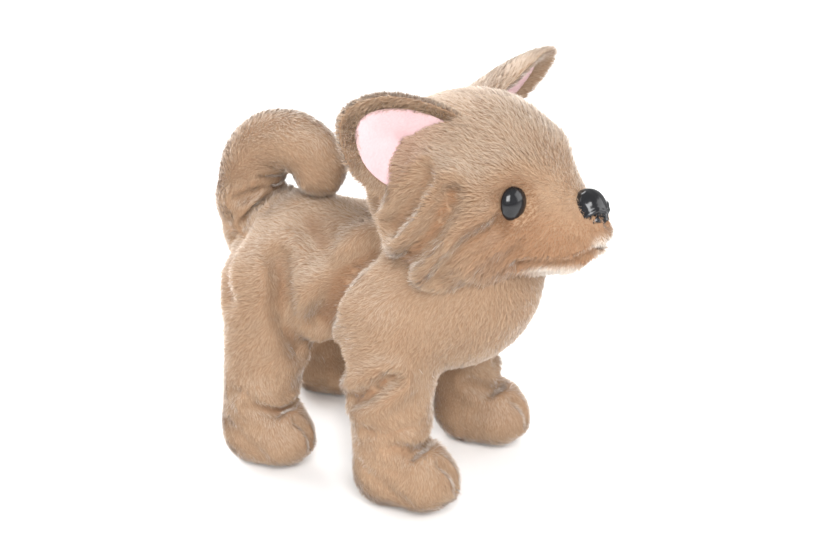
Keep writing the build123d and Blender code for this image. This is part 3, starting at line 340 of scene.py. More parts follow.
# Each fold is its line, its depth and its width. Lines are given for the left side of the toy.
FLANK_FOLDS = [
    ([(27, 0, 120), (31, 6, 110), (32, 11, 97), (29, 24, 80)], 6.5, 6.0),
    ([(33, 42, 108), (38, 38, 93), (37, 37, 78), (31, 37, 64)], 4.6, 5.0),
    ([(15, 36, 124), (24, 26, 117), (29, 15, 107)], 3.0, 7.0),
    ([(30, 8, 76), (34, 1, 71), (38, -3, 67)], 4.6, 3.6),
    ([(46, -5, 56), (49, -15, 63), (46, -24, 71)], 4.8, 3.6),
    ([(22, 70, 108), (32, 66, 98), (36, 60, 88)], 2.2, 5.0),
]
TAIL_FOLDS = [
    ([(-13, 76, 112), (-9, 72, 118), (0, 70, 120), (9, 72, 118), (13, 76, 112)], 2.6, 2.4),
    ([(-13, 82, 122), (-11, 71, 127), (0, 67, 128), (11, 71, 127), (13, 82, 122)], 1.8, 2.2),
    ([(-14, 80, 104), (-13, 70, 110), (-4, 67, 114)], 1.5, 2.4),
    ([(14, 80, 104), (13, 70, 110), (4, 67, 114)], 1.5, 2.4),
    ([(-9, 70, 134), (0, 67, 136), (9, 70, 134)], 1.2, 2.2),
]
FAR_SIDE = (4, 0.7)  # the left flank's folds lie this much further back, and are this deep
HEM = 1.2  # room round the battery cover, where the coat's edge is turned in
OPENING_DEEP = 14.0  # the opening goes up this far past the cover
SOLE = 0.4  # the pile keeps the cloth of the soles this far off the floor


def belly_opening(points):
    """Distance to the opening for the battery cover, negative inside it."""
    middle = (COVER_LOW + COVER_HIGH) / 2
    half = (COVER_HIGH - COVER_LOW) / 2 + HEM
    over = np.abs(points[:, :2] - middle[:2]) - half[:2]
    outline = np.linalg.norm(np.maximum(over, 0), axis=1) + np.minimum(over.max(axis=1), 0)
    return np.maximum(outline, points[:, 2] - COVER_HIGH[2] - OPENING_DEEP)


def body_form(points):
    """The stuffed form below the head, before its flanks and tail are creased."""
    d = limb(points, BARREL, 3)
    for leg in LEGS:
        d = melt(d, leg_distance(points, leg) + leg_folds(points, leg), 9)
    tail_root, tail_curl = TAIL[:3], TAIL[2:]
    d = melt(d, limb(points, tail_root), 8)
    return melt(d, limb(points, tail_curl), 1.5)


BODY_CREASES = [(laid(body_form, line), depth, width) for line, depth, width in TAIL_FOLDS]
for side in SIDES.values():
    for line, depth, width in FLANK_FOLDS:
        shift, soft = FAR_SIDE if side > 0 else (0, 1.0)
        moved = [(side * x, y + shift, z) for x, y, z in line]
        BODY_CREASES.append((laid(body_form, moved), soft * depth, width))


def body_creases(points):
    """How far all the creases of the flanks and tail press in."""
    return sum(fold(points, line, depth, width) for line, depth, width in BODY_CREASES)


def body_distance(points):
    """The whole stuffed form below the head."""
    d = body_form(points) + body_creases(points)
    d = d + 0.55 * lumps(points, 30, 4) + 0.2 * lumps(points, 11, 5)
    d = -melt(-d, points[:, 2] - SOLE, 3)
    return -melt(-d, belly_opening(points), 2)


# %% Sew the body
CLOTH_CELL = 1.7  # side of one quad of the coat
BODY_LOW, BODY_HIGH = (-58, -78, -3), (58, 106, 172)
body_points, body_quads = surface_of(body_distance, BODY_LOW, BODY_HIGH, CLOTH_CELL)
print("body coat:", len(body_points), "points,", len(body_quads), "quads")


# %% [markdown]
# ## The head
# The head is one stuffed ball, high at the forehead, with full cheeks, a short tapering muzzle and
# a small lower jaw. The eyes sit in shallow sockets where their shanks pull the cloth inwards.

# %% Head measures
# Balls as (x, y, z, radius). Those off the middle are for the left side, and are mirrored.
CRANIUM = [(0, -31, 148, 38), (0, -37, 150.5, 38.5), (0, -42, 151, 37)]
CHEEK = [(15, -42, 135, 26), (17, -36, 131, 23)]
MUZZLE = [(0, -56, 143, 25), (0, -67, 142, 21), (0, -78, 140, 17), (0, -84.5, 139.5, 14)]
JAW = [(0, -54, 130, 18), (0, -69, 128, 13), (0, -81, 128, 10.5)]
BROW = [(16, -62, 161, 8), (7, -63, 162, 8)]
LIP = [(7, -83, 136.5, 11.5), (11, -70, 135, 12)]
PADS = ((CHEEK, 9), (BROW, 8), (LIP, 4))  # each with how softly it joins the head
HEAD_FOLDS = [
    ([(38, -48, 157), (42, -43, 146), (42, -34, 132), (34, -23, 119)], 5.0, 4.2),
    ([(37, -37, 162), (40, -29, 149), (39, -20, 137)], 4.2, 3.8),
    ([(32, -66, 145), (37, -58, 140), (41, -51, 132), (38, -42, 121)], 3.8, 3.6),
    ([(33, -12, 158), (33, -8, 146), (27, -5, 132)], 2.6, 4.0),
]
MOUTH = [(0, -96, 135.5), (8, -93, 132.5), (16, -83, 130), (20, -71, 129)]


def head_form(points):
    """The stuffed head without its ears, before it is creased."""
    d = limb(points, CRANIUM, 2)
    d = melt(d, limb(points, MUZZLE, 3), 9)
    d = melt(d, limb(points, JAW, 2), 7)
    for side in SIDES.values():
        for balls, soft in PADS:
            d = melt(d, limb(points, np.array(balls) * (side, 1, 1, 1), 1), soft)
    return d


HEAD_CREASES = []
for side in SIDES.values():
    for line, depth, width in HEAD_FOLDS + [(MOUTH, 2.4, 2.2)]:
        HEAD_CREASES.append((laid(head_form, [(side * x, y, z) for x, y, z in line]), depth, width))
HEAD_CREASES.append((laid(head_form, [(0, -95, 144), (0, -97, 139), (0, -96, 134)]), 1.6, 1.5))


def head_creases(points):
    """How far the creases of the head press in."""
    return sum(fold(points, line, depth, width) for line, depth, width in HEAD_CREASES)


def head_distance(points):
    """The stuffed head with its creases and eye sockets."""
    d = head_form(points) + head_creases(points)
    for name in SIDES:
        socket = EYES[name]
        d = d + fold(points, [socket + (0, 0, 2), socket + (0, 4, -1)], 3.0, 6.5)
    return d + 0.5 * lumps(points, 34, 8) + 0.2 * lumps(points, 12, 9)


# %% Sew the head
HEAD_CELL = 1.6
HEAD_LOW, HEAD_HIGH = (-60, -108, 98), (60, 18, 200)
head_points, head_quads = surface_of(head_distance, HEAD_LOW, HEAD_HIGH, HEAD_CELL)
print("head coat:", len(head_points), "points,", len(head_quads), "quads")


# %% [markdown]
# ## Where the coat is cut
# The toy's coat is one bag, cut into regions. A leg region starts a hand's width round the hip, and
# the tail's region starts at its root. The torso and the tail's curled end ride on their own bodies;
# the legs and the tail root keep their places.

# %% Regions
BARREL_CENTRE = np.array([0, 0, 95.0])
LEG_LEAN = np.array([0.5, 0, -0.866])
LEG_START = 34.0  # from the barrel's axis, along the lean of the leg
TAIL_LEAN = np.array([0, 0.45, 0.893])
TAIL_START = 140.0
TAIL_END = 154.0
SPLIT_Y = 20.0  # between front and rear legs
EDGE = 2.6  # a little more than one quad


def leg_way(points, side):
    """How far points are out along the lean of the legs on one side."""
    return (points - BARREL_CENTRE) @ (LEG_LEAN * (side, 1, 1))


def region_of(points):
    """Name of the region that each point of the body coat is in."""
    side = np.where(points[:, 0] > 0, 1, -1)
    way = np.where(side > 0, leg_way(points, 1), leg_way(points, -1))
    end = np.where(points[:, 1] < SPLIT_Y, "front", "rear")
    name = np.where(side > 0, "left", "right")
    leg = np.char.add(np.char.add(end, "_"), name)
    region = np.where((way > LEG_START) & (points[:, 2] < 92), leg, "torso")
    up = points @ TAIL_LEAN
    curl = (up > TAIL_END + EDGE) | ((points[:, 2] > 128) & (points[:, 1] < 70))
    above = (points[:, 1] > 15) & ((up > TAIL_START) | curl)
    region = np.where(above, "tail_root", region)
    return np.where(above & curl, "tail_curl", region)


def move_with(piece, region):
    """Attaches a torso or tail curl piece to its body; a leg or tail root piece only has its placing
    baked in.
    """
    if region in LEGS:
        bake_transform(piece)
    elif region == "tail_root":
        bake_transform(piece)
    else:
        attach(piece, "tail" if region == "tail_curl" else region)


# %% [markdown]
# ## Node groups for finishes
# Two effects are used by many materials, so each is a node group. "Pile shade" gives the mottled
# light and dark of brushed fibre, and "Moulded grain" gives the fine uneven surface of plastic and
# metal. They put out numbers, and the shader stays in the material.

# %% Node helpers
def new_group(name, inputs, outputs):
    """A node group with float inputs and float outputs."""
    tree = bpy.data.node_groups.new(name, "ShaderNodeTree")
    for label, value in inputs.items():
        socket = tree.interface.new_socket(label, in_out="INPUT", socket_type="NodeSocketFloat")
        socket.default_value = value
    for label in outputs:
        tree.interface.new_socket(label, in_out="OUTPUT", socket_type="NodeSocketFloat")
    return tree, tree.nodes.new("NodeGroupInput"), tree.nodes.new("NodeGroupOutput")


def noise(tree, source, scale, detail=3.0):
    """A noise texture on object coordinates, at a scale in bumps per metre."""
    node = tree.nodes.new("ShaderNodeTexNoise")
    node.inputs["Detail"].default_value = detail
    if isinstance(scale, (int, float)):
        node.inputs["Scale"].default_value = scale
    else:
        tree.links.new(scale, node.inputs["Scale"])
    tree.links.new(source, node.inputs["Vector"])
    return node.outputs["Fac"]


def maths(tree, operation, first, second):
    """A maths node. Each input is a socket or a number."""
    node = tree.nodes.new("ShaderNodeMath")
    node.operation = operation
    for socket, value in zip(node.inputs, (first, second)):
        if isinstance(value, (int, float)):
            socket.default_value = value
        else:
            tree.links.new(value, socket)
    return node.outputs[0]


def ramp(tree, factor, low, high, start=0.0, end=1.0):
    """Colours from low to high as the factor goes from start to end."""
    node = tree.nodes.new("ShaderNodeValToRGB")
    node.color_ramp.elements[0].position = start
    node.color_ramp.elements[1].position = end
    node.color_ramp.elements[0].color = (*low, 1)
    node.color_ramp.elements[1].color = (*high, 1)
    tree.links.new(factor, node.inputs["Fac"])
    return node.outputs["Color"]


def mixed(tree, blend_type, factor, first, second):
    """Mixes two colours. The factor is a socket or a number."""
    node = tree.nodes.new("ShaderNodeMix")
    node.data_type = "RGBA"
    node.blend_type = blend_type
    if isinstance(factor, (int, float)):
        node.inputs["Factor"].default_value = factor
    else:
        tree.links.new(factor, node.inputs["Factor"])
    for label, value in (("A", first), ("B", second)):
        socket = [i for i in node.inputs if i.name == label and i.type == "RGBA"][0]
        if isinstance(value, tuple):
            socket.default_value = (*value, 1)
        else:
            tree.links.new(value, socket)
    return [o for o in node.outputs if o.type == "RGBA"][0]


# %% The two groups
def make_pile_shade():
    """Slow and fine mottling of brushed fibre."""
    tree, entry, result = new_group("Pile shade", {"Patch Scale": 55, "Tuft Scale": 420},
                                    ["Shade", "Height"])
    place = tree.nodes.new("ShaderNodeTexCoord").outputs["Object"]
    patches = noise(tree, place, entry.outputs["Patch Scale"], 2.0)
    tufts = noise(tree, place, entry.outputs["Tuft Scale"], 4.0)
    both = maths(tree, "ADD", maths(tree, "MULTIPLY", patches, 0.6),
                 maths(tree, "MULTIPLY", tufts, 0.4))
    tree.links.new(both, result.inputs["Shade"])
    tree.links.new(tufts, result.inputs["Height"])
    return tree


def make_moulded_grain():
    """Fine grain of a moulded or plated surface, with slow wear over it."""
    tree, entry, result = new_group("Moulded grain", {"Grain Scale": 1500}, ["Grain", "Wear"])
    place = tree.nodes.new("ShaderNodeTexCoord").outputs["Object"]
    tree.links.new(noise(tree, place, entry.outputs["Grain Scale"], 5.0), result.inputs["Grain"])
    tree.links.new(noise(tree, place, 90.0, 3.0), result.inputs["Wear"])
    return tree


PILE_SHADE = make_pile_shade()
MOULDED_GRAIN = make_moulded_grain()


def new_material(name, group):
    """A material with its shader and one of the two groups placed in it."""
    material = bpy.data.materials.new(name)
    material.use_nodes = True
    tree = material.node_tree
    effect = tree.nodes.new("ShaderNodeGroup")
    effect.node_tree = group
    return material, tree, tree.nodes["Principled BSDF"], effect


def bump(tree, shader, height, strength, distance):
    """A bump node on the shader's normal."""
    node = tree.nodes.new("ShaderNodeBump")
    node.inputs["Strength"].default_value = strength
    node.inputs["Distance"].default_value = distance
    tree.links.new(height, node.inputs["Height"])
    tree.links.new(node.outputs["Normal"], shader.inputs["Normal"])


# %% [markdown]
# ## Materials
# The pile is painted darker and redder at its roots and pale at its tips, as painted shade deep in
# the pile, which is why a fold that opens the pile looks brown and a rounded edge looks cream. Each
# strand carries its own coat colour and how far along it a point is. The cloth below the pile has
# the colour of the roots, the same painted shade.

# %% Plush, lining and wadding
def pile_material(name):
    """Material of the strands: the coat colour, darker and redder towards the root as painted shade."""
    material, tree, shader, shade = new_material(name, PILE_SHADE)
    coat = tree.nodes.new("ShaderNodeAttribute")
    coat.attribute_name = "coat"
    along = tree.nodes.new("ShaderNodeAttribute")
    along.attribute_name = "along"
    # painted shade: the roots are darkened as if shaded deep in the pile
    depth = ramp(tree, along.outputs["Fac"], (0.66, 0.50, 0.38), (1.0, 1.0, 1.0), 0.0, 0.85)
    colour = mixed(tree, "MULTIPLY", 1.0, coat.outputs["Color"], depth)
    mottle = ramp(tree, shade.outputs["Shade"], (0.90, 0.87, 0.84), (1.0, 1.0, 1.0), 0.3, 0.7)
    colour = mixed(tree, "MULTIPLY", 1.0, colour, mottle)
    tree.links.new(colour, shader.inputs["Base Color"])
    rough = maths(tree, "ADD", maths(tree, "MULTIPLY", shade.outputs["Shade"], 0.2), 0.62)
    tree.links.new(rough, shader.inputs["Roughness"])
    shader.inputs["Specular IOR Level"].default_value = 0.25
    shader.inputs["Sheen Weight"].default_value = 0.9
    shader.inputs["Sheen Roughness"].default_value = 0.35
    shader.inputs["Sheen Tint"].default_value = (1.0, 0.92, 0.84, 1)
    return material


def cloth_material(name, dark, light, sheen, tuft_scale, lift):
    """Woven or brushed cloth with mottled colour and a fine nap."""
    material, tree, shader, shade = new_material(name, PILE_SHADE)
    shade.inputs["Tuft Scale"].default_value = tuft_scale
    tree.links.new(ramp(tree, shade.outputs["Shade"], dark, light, 0.3, 0.7),
                   shader.inputs["Base Color"])
    rough = maths(tree, "ADD", maths(tree, "MULTIPLY", shade.outputs["Shade"], 0.15), 0.8)
    tree.links.new(rough, shader.inputs["Roughness"])
    shader.inputs["Specular IOR Level"].default_value = 0.2
    shader.inputs["Sheen Weight"].default_value = sheen
    bump(tree, shader, shade.outputs["Height"], 0.5, lift)
    return material


def moulded_material(name, colour, roughness, metallic=0.0, grain_scale=1500, coat=0.0, strength=0.15):
    """Moulded plastic or plated metal: fine grain in colour, roughness and bump."""
    material, tree, shader, grain = new_material(name, MOULDED_GRAIN)
    grain.inputs["Grain Scale"].default_value = grain_scale
    dark = tuple(0.82 * c for c in colour)
    tree.links.new(ramp(tree, grain.outputs["Wear"], dark, colour, 0.35, 0.65),
                   shader.inputs["Base Color"])
    spread = maths(tree, "MULTIPLY", grain.outputs["Grain"], 0.16)
    tree.links.new(maths(tree, "ADD", spread, roughness - 0.08), shader.inputs["Roughness"])
    shader.inputs["Metallic"].default_value = metallic
    shader.inputs["Coat Weight"].default_value = coat
    bump(tree, shader, grain.outputs["Grain"], strength, 0.0002)
    return material


PILE = pile_material("Plush pile")
# painted shade: the cloth under the pile has the darkened root colour, the shade deep in the pile
BACKING = cloth_material("Plush backing cloth", (0.34, 0.20, 0.12), (0.44, 0.29, 0.18),
                         0.1, 700, 0.0003)
LINING = cloth_material("Short nap ear lining", (0.74, 0.47, 0.49), (0.86, 0.62, 0.64),
                        0.5, 900, 0.0004)
FINISHES = {
    "wadding": cloth_material("Polyester wadding", (0.75, 0.74, 0.71), (0.95, 0.94, 0.92),
                              0.3, 250, 0.002),
    "gloss_black": moulded_material("Glossy black plastic", (0.012, 0.012, 0.014), 0.16, strength=0.03),
    "washer_plastic": moulded_material("Washer plastic", (0.83, 0.83, 0.8), 0.45),
    "chassis_plastic": moulded_material("Chassis plastic", (0.1, 0.1, 0.11), 0.5),
    "leg_plastic": moulded_material("Leg frame plastic", (0.72, 0.70, 0.65), 0.45),
    "cover_plastic": moulded_material("Battery cover plastic", (0.42, 0.26, 0.15), 0.5, grain_scale=2200),
    "black_plastic": moulded_material("Black plastic", (0.02, 0.02, 0.02), 0.4),
    "gear_plastic": moulded_material("Gear plastic", (0.84, 0.82, 0.76), 0.35, grain_scale=900),
    "steel": moulded_material("Plated steel", (0.62, 0.62, 0.63), 0.3, metallic=1.0, grain_scale=2600),
    "cell_wrap": moulded_material("Cell sleeve", (0.06, 0.16, 0.11), 0.3, coat=0.3),
    "board": moulded_material("Solder mask", (0.02, 0.16, 0.06), 0.35, grain_scale=700),
    "components": moulded_material("Component bodies", (0.03, 0.03, 0.03), 0.5),
}


# %% Finishes on the machine
FINISHES["plush"] = BACKING
FINISHES["ear_lining"] = LINING
for node in frame["nodes"].values():
    for place in node.material_slots:
        place.material = FINISHES[place.material.name.split(".")[0]]
print("materials on", len(frame["nodes"]), "CAD nodes")


# %% [markdown]
# ## Growing pile
# Each strand is a thin blade of mesh: two root points,
# two middle points and a tip. Strands are spread evenly over the cloth, lean the way the coat is
# brushed, gather a little into tufts, and share the cloth's shading so that the coat looks soft.

# %% Strands
UV_NAME = "OFBake"


def unit(vectors):
    """Vectors of length one."""
    return vectors / np.maximum(np.linalg.norm(vectors, axis=1), 1e-9)[:, None]


def scatter(points, normals, faces, density, rng):
    """Root places and normals, evenly spread over four-sided faces."""
    triangles = np.vstack([faces[:, [0, 1, 2]], faces[:, [0, 2, 3]]])
    a, b, c = (points[triangles[:, i]] for i in range(3))
    reach = np.cumsum(np.linalg.norm(np.cross(b - a, c - a), axis=1) / 2)
    count = int(reach[-1] * density)
    pick = np.searchsorted(reach, (np.arange(count) + rng.random(count)) / count * reach[-1])
    pick = np.minimum(pick, len(triangles) - 1)
    u, v = rng.random((2, count, 1))
    u, v = np.where(u + v > 1, 1 - u, u), np.where(u + v > 1, 1 - v, v)
    weights = np.hstack([1 - u - v, u, v])
    roots = np.einsum("ij,ijk->ik", weights, points[triangles[pick]])
    facing = unit(np.einsum("ij,ijk->ik", weights, normals[triangles[pick]]))
    return roots, facing


def brushed(roots, facing, comb):
    """The combing direction laid on the cloth and turned by slow swirls."""
    flat = comb - np.sum(comb * facing, axis=1)[:, None] * facing
    flat = unit(flat + 1e-4)
    across = np.cross(facing, flat)
    turn = (0.55 * lumps(roots, 26, 21) + 0.35 * lumps(roots, 8, 22))[:, None]
    return np.cos(turn) * flat + np.sin(turn) * across


FLOOR_CLEAR = 0.1  # lowest height of any strand


def grow_pile(name, points, normals, faces, look, density=2.3, seed=1):
    """Strands over a piece of coat. look(roots, facing) gives comb, length, lift and colour."""
    rng = np.random.default_rng(seed)
    roots, facing = scatter(points, normals, faces, density, rng)
    comb, length, lift, colour = look(roots, facing)
    count = len(roots)
    flat = brushed(roots, facing, comb)
    across = np.cross(facing, flat)
    length = (length * rng.uniform(0.75, 1.2, count))[:, None]
    lift = (lift + rng.normal(0, 0.13, count))[:, None]
    stray = rng.normal(0, 0.25, (count, 1))
    way = unit(flat + stray * across)
    tuft = 0.25 * np.sin(roots * 1.9 + 2.2 * np.sin(roots[:, [1, 2, 0]] * 0.7))
    middle = roots + 0.5 * length * (np.cos(lift) * way + np.sin(lift) * facing)
    tip = middle + 0.5 * length * (np.cos(0.72 * lift) * way + np.sin(0.72 * lift) * facing) + tuft
    spin = rng.uniform(-0.7, 0.7, (count, 1))
    wide = np.cos(spin) * across + np.sin(spin) * facing
    half = 0.5 * rng.uniform(0.24, 0.38, (count, 1))
    base = roots - 0.35 * facing
    strand = np.stack([base + half * wide, base - half * wide, middle - 0.85 * half * wide,
                       middle + 0.85 * half * wide, tip], 1)
    strand[:, :, 2] = np.maximum(strand[:, :, 2], FLOOR_CLEAR)
    first = 5 * np.arange(count)[:, None]
    piece = mesh_object(name, strand.reshape(-1, 3), [first + [0, 1, 2, 3], first + [3, 2, 4]],
                        np.repeat(unit(facing + 0.16 * rng.normal(size=(count, 3))), 5, axis=0))
    dress_strands(piece.data, count, colour * rng.uniform(0.90, 1.06, (count, 1)))
    piece.data.materials.append(PILE)
    return piece


def dress_strands(mesh, count, colour):
    """Colour, place along the strand, and a small map cell of its own for each strand."""
    along = mesh.attributes.new("along", "FLOAT", "POINT")
    along.data.foreach_set("value", np.tile([0, 0, 0.5, 0.5, 1], count).astype(np.float32))
    coat = mesh.attributes.new("coat", "FLOAT_COLOR", "POINT")
    rgba = np.hstack([np.clip(colour, 0, 1), np.ones((count, 1))])
    coat.data.foreach_set("color", np.repeat(rgba, 5, axis=0).astype(np.float32).ravel())
    side = math.ceil(math.sqrt(count))
    cell = np.stack([np.arange(count) % side, np.arange(count) // side], 1)
    corners = np.array([(0.2, 0.15), (0.8, 0.15), (0.75, 0.5), (0.25, 0.5), (0.5, 0.85)])
    place = ((cell[:, None, :] + corners) / side).reshape(-1, 2)
    vertex = np.empty(len(mesh.loops), np.int32)
    mesh.loops.foreach_get("vertex_index", vertex)
    mesh.uv_layers.new(name=UV_NAME).data.foreach_set("uv", place[vertex].astype(np.float32).ravel())


# %% [markdown]
# ## How the coat is brushed and coloured
# The pile is brushed back over the head and barrel, down the legs and up the tail. It is longer on
# the cheeks and short round the eyes and nose. The tan coat is warmer on the face and turns to cream
# on the chin and under the jaw. Painted light and shade are laid on it too: pile that faces up is
# painted paler as if lit from above, and pile in the folds and round the eyes is painted darker and
# redder as if shaded.

# %% Coat colours and combing
TAN = np.array([0.55, 0.395, 0.27])
# a warmer tan: the face's own colour and random patches, and also painted shade in the folds and round
# the eyes
WARM_AND_SHADE = np.array([0.46, 0.265, 0.15])
# painted light: the paler tan of pile that faces up, as if lit from above
TOP_LIGHT_TAN = np.array([0.66, 0.54, 0.43])
CREAM = np.array([0.93, 0.88, 0.81])


def smooth_step(values, start, end):
    """From 0 at start to 1 at end."""
    t = np.clip((values - start) / (end - start), 0, 1)
    return t * t * (3 - 2 * t)


def blend_colour(first, second, share):
    """Between two colours, by a share for each point."""
    return first + (second - first) * share[:, None]


def body_look(roots, facing):
    """Combing, length, lift and colour below the head."""
    x, y, z = roots.T
    leg = smooth_step(66 - z, 0, 20)
    back = np.stack([0 * x, 0.9 + 0 * x, -0.75 + 0 * x], 1)
    down = np.stack([0 * x, -0.25 + 0 * x, -1 + 0 * x], 1)
    comb = back * (1 - leg[:, None]) + down * leg[:, None]
    foot = smooth_step(22 - z, 0, 12)[:, None]
    comb = comb * (1 - foot) + np.array([0, -1, -0.35]) * foot
    tail = ((y > 62) & (z > 108)) | (z > 131)
    turn = np.arctan2(z - 125, y - 62)
    comb[tail] = np.stack([0 * x, -np.sin(turn), np.cos(turn)], 1)[tail] + np.array([0, -0.3, 0])
    length = 3.6 - 0.5 * leg
    opening = np.hypot(np.maximum(np.abs(x) - 17, 0), np.maximum(np.maximum(-22 - y, y - 53), 0))
    length = np.where((z < 72) & (opening < 4), 1.6, length)
    lift = 0.42 + 0.16 * lumps(roots, 22, 31)
    # painted light: pile that faces up is painted paler, as if lit from above
    lit_top = smooth_step(facing[:, 2] + 0.25 * lumps(roots, 35, 32), 0.1, 1.0)
    colour = blend_colour(TAN, TOP_LIGHT_TAN, lit_top)
    warmth_and_shade = smooth_step(lumps(roots, 40, 33), 0.4, 1.6) * 0.25
    # painted shade: pile in the creases of the flanks, tail and legs is darkened and reddened as if
    # shaded
    crease_shade = body_creases(roots) + sum(leg_folds(roots, leg) for leg in LEGS)
    warmth_and_shade = np.maximum(warmth_and_shade, 0.8 * smooth_step(crease_shade + 0.3 * lumps(roots, 8, 34), 0.8, 3.6))
    return comb, length, lift, blend_colour(colour, 0.92 * WARM_AND_SHADE, warmth_and_shade)


def head_look(roots, facing):
    """Combing, length, lift and colour of the head."""
    x, y, z = roots.T
    comb = unit(roots - (NOSE + (0, 0, -4))) + np.array([0, 0.2, -0.35])
    near_nose = np.linalg.norm(roots - NOSE, axis=1)
    near_eye = np.min([np.linalg.norm(roots - EYES[s], axis=1) for s in SIDES], axis=0)
    length = 4.0 - 2.0 * smooth_step(30 - near_nose, 0, 18) - 1.6 * smooth_step(13 - near_eye, 0, 6)
    length = length + 1.0 * smooth_step(142 - z, 0, 16) * smooth_step(y, -74, -58)
    lift = 0.44 + 0.16 * lumps(roots, 18, 41)
    # painted light: pile that faces up is painted paler, as if lit from above
    lit_top = smooth_step(facing[:, 2] + 0.25 * lumps(roots, 30, 42), 0.25, 1.0)
    colour = blend_colour(TAN, TOP_LIGHT_TAN, lit_top)
    face = smooth_step(-y, 44, 74) * smooth_step(158 - z, 0, 14)
    # painted shade: pile in the creases of the head is darkened as if shaded
    crease_shade = 0.85 * smooth_step(head_creases(roots) + 0.3 * lumps(roots, 8, 44), 0.6, 3.4)
    colour = blend_colour(colour, WARM_AND_SHADE, np.clip(np.maximum(0.85 * face, crease_shade), 0, 1))
    # painted shade: pile round the eye sockets is darkened as if shaded in the hollow
    colour = blend_colour(colour, 0.8 * WARM_AND_SHADE, smooth_step(13 - near_eye, 0, 5))
    below = smooth_step(129 - z + 3 * lumps(roots, 9, 43), 0, 5) * smooth_step(-y, 66, 80)
    chin = np.maximum(below, smooth_step(-y - 95, 0, 4) * smooth_step(142 - z, 0, 5))
    return comb, length, lift, blend_colour(colour, CREAM, np.clip(chin, 0, 1))


# %% Cut the body coat and grow its pile
PILE_DENSITY = 2.6
ROOF_EDGE = 3.2  # the cloth over the opening is cut away to this far round it
BARREL_SPLIT = 12.0  # the torso's pile is grown in two pieces, ahead of and behind this
REPLACED = {"torso": ("torso_skin", "chest_wadding"), "tail_curl": ("tail_skin",),
            **{leg: (f"{leg}_leg_skin",) for leg in LEGS}}
_, body_normals = slope(body_distance, body_points)
middles = body_points[body_quads].mean(axis=1)
regions = region_of(body_points)[body_quads]
on_torso = np.any(regions == "torso", axis=1)
roof = (middles[:, 2] > COVER_HIGH[2]) & (belly_opening(middles - (0, 0, 8)) < ROOF_EDGE)
for seed, region in enumerate(("torso", *LEGS, "tail_root", "tail_curl")):
    if region == "torso":
        keep = on_torso & ~roof
    elif region == "tail_root":
        keep = np.any(regions == region, axis=1) & ~on_torso
    else:
        keep = np.all(regions == region, axis=1)
    index, faces = part_of(np.arange(len(body_points)), body_quads, keep)
    coat = mesh_object(f"{region}_coat", body_points[index], [faces], body_normals[index])
    coat.data.materials.append(BACKING)
    if region in REPLACED:
        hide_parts(*REPLACED[region])
    move_with(coat, region)
    print(region, len(faces), "quads")
    ahead = body_points[index][faces].mean(axis=1)[:, 1] < BARREL_SPLIT
    patches = {f"{region}_pile": faces}
    if region == "torso":
        patches = {"shoulder_pile": faces[ahead], "rump_pile": faces[~ahead]}
    for name, patch in patches.items():
        pile = grow_pile(name, body_points[index], body_normals[index], patch, body_look,
                         PILE_DENSITY, seed + 1)
        move_with(pile, region)
        print(name, len(pile.data.polygons) // 2, "strands")


# %% Grow the head's pile
FACE_BACK = -46.0  # the head's pile is grown in two pieces, ahead of and behind this
HEAD_DENSER = 1.15
_, head_normals = slope(head_distance, head_points)
head_coat = mesh_object("head_coat", head_points, [head_quads], head_normals)
head_coat.data.materials.append(BACKING)
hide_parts("head_skin", "muzzle_wadding")
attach(head_coat, "head")
head_middles = head_points[head_quads].mean(axis=1)
in_front = head_middles[:, 1] < FACE_BACK
for name, keep in {"face": in_front, "nape": ~in_front}.items():
    index, faces = part_of(np.arange(len(head_points)), head_quads, keep)
    pile = grow_pile(f"{name}_pile", head_points[index], head_normals[index], faces, head_look,
                     PILE_DENSITY * HEAD_DENSER, 20 + len(name))
    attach(pile, "head")
    print(name, len(pile.data.polygons) // 2, "strands")


# %% [markdown]
# ## Ears
# Each ear is half a bowl sewn along a slanting line on the side of the head: plush outside, pink
# short nap inside, with a plush rim left round the lining. On this toy the right ear leans back and
# the left one pricks forward. A point of an ear is found from how far it is round the bowl's rim
# and how far it is out from the middle of the sewn line.

# %% Ear shape
EAR_FRONT = np.array([19, -37, 183.0])  # upper end of the sewn line, on the left side
EAR_BACK = np.array([35, -16, 152.0])  # lower end
EAR_REACH = {"right": np.array([-30, 16, 21.0]), "left": np.array([29, -19, 23.0])}
EAR_BOWL = 12.0  # how deep the bowl is
EAR_THICK = 2.6  # half thickness of the sewn ear without its pile
EAR_WIDEN = 1.12  # the bowl is a little wider than its sewn line
RIM_WAVE = 1.5  # the rim isn't quite level
LINING_THICK = 1.1
LINING_EDGE = 0.74  # the lining ends at this share of the way out to the rim


def ear_frame(side):
    """Middle of the sewn line, half the line, the way out, and the way the lining faces."""
    mirror = (SIDES[side], 1, 1)
    front, back = EAR_FRONT * mirror, EAR_BACK * mirror
    half_line = (front - back) / 2
    out = EAR_REACH[side]
    faces = np.cross(out, half_line) * SIDES[side]
    return (front + back) / 2, half_line * EAR_WIDEN, out, faces / np.linalg.norm(faces)


def ear_point(side, far, turn, lift):
    """A point a share far out to the rim, turned round it, and lifted off the middle layer."""
    middle, half_line, out, faces = ear_frame(side)
    along = far * np.cos(turn)
    away = far * np.sin(turn) * (1 + 0.10 * np.cos(turn) + 0.06 * np.sin(turn) ** 8)
    bowl = -EAR_BOWL * (1 - far**2) * (0.6 + 0.4 * np.sin(turn))
    bowl = bowl + RIM_WAVE * np.cos(3 * turn) * far**3
    return (middle + along[..., None] * half_line + away[..., None] * out
            + (bowl + lift)[..., None] * faces)


def grid_quads(rows, columns):
    """Faces of a grid of points numbered row by row."""
    index = np.arange(rows * columns).reshape(rows, columns)
    corners = [index[:-1, :-1], index[1:, :-1], index[1:, 1:], index[:-1, 1:]]
    return np.stack(corners, -1).reshape(-1, 4)


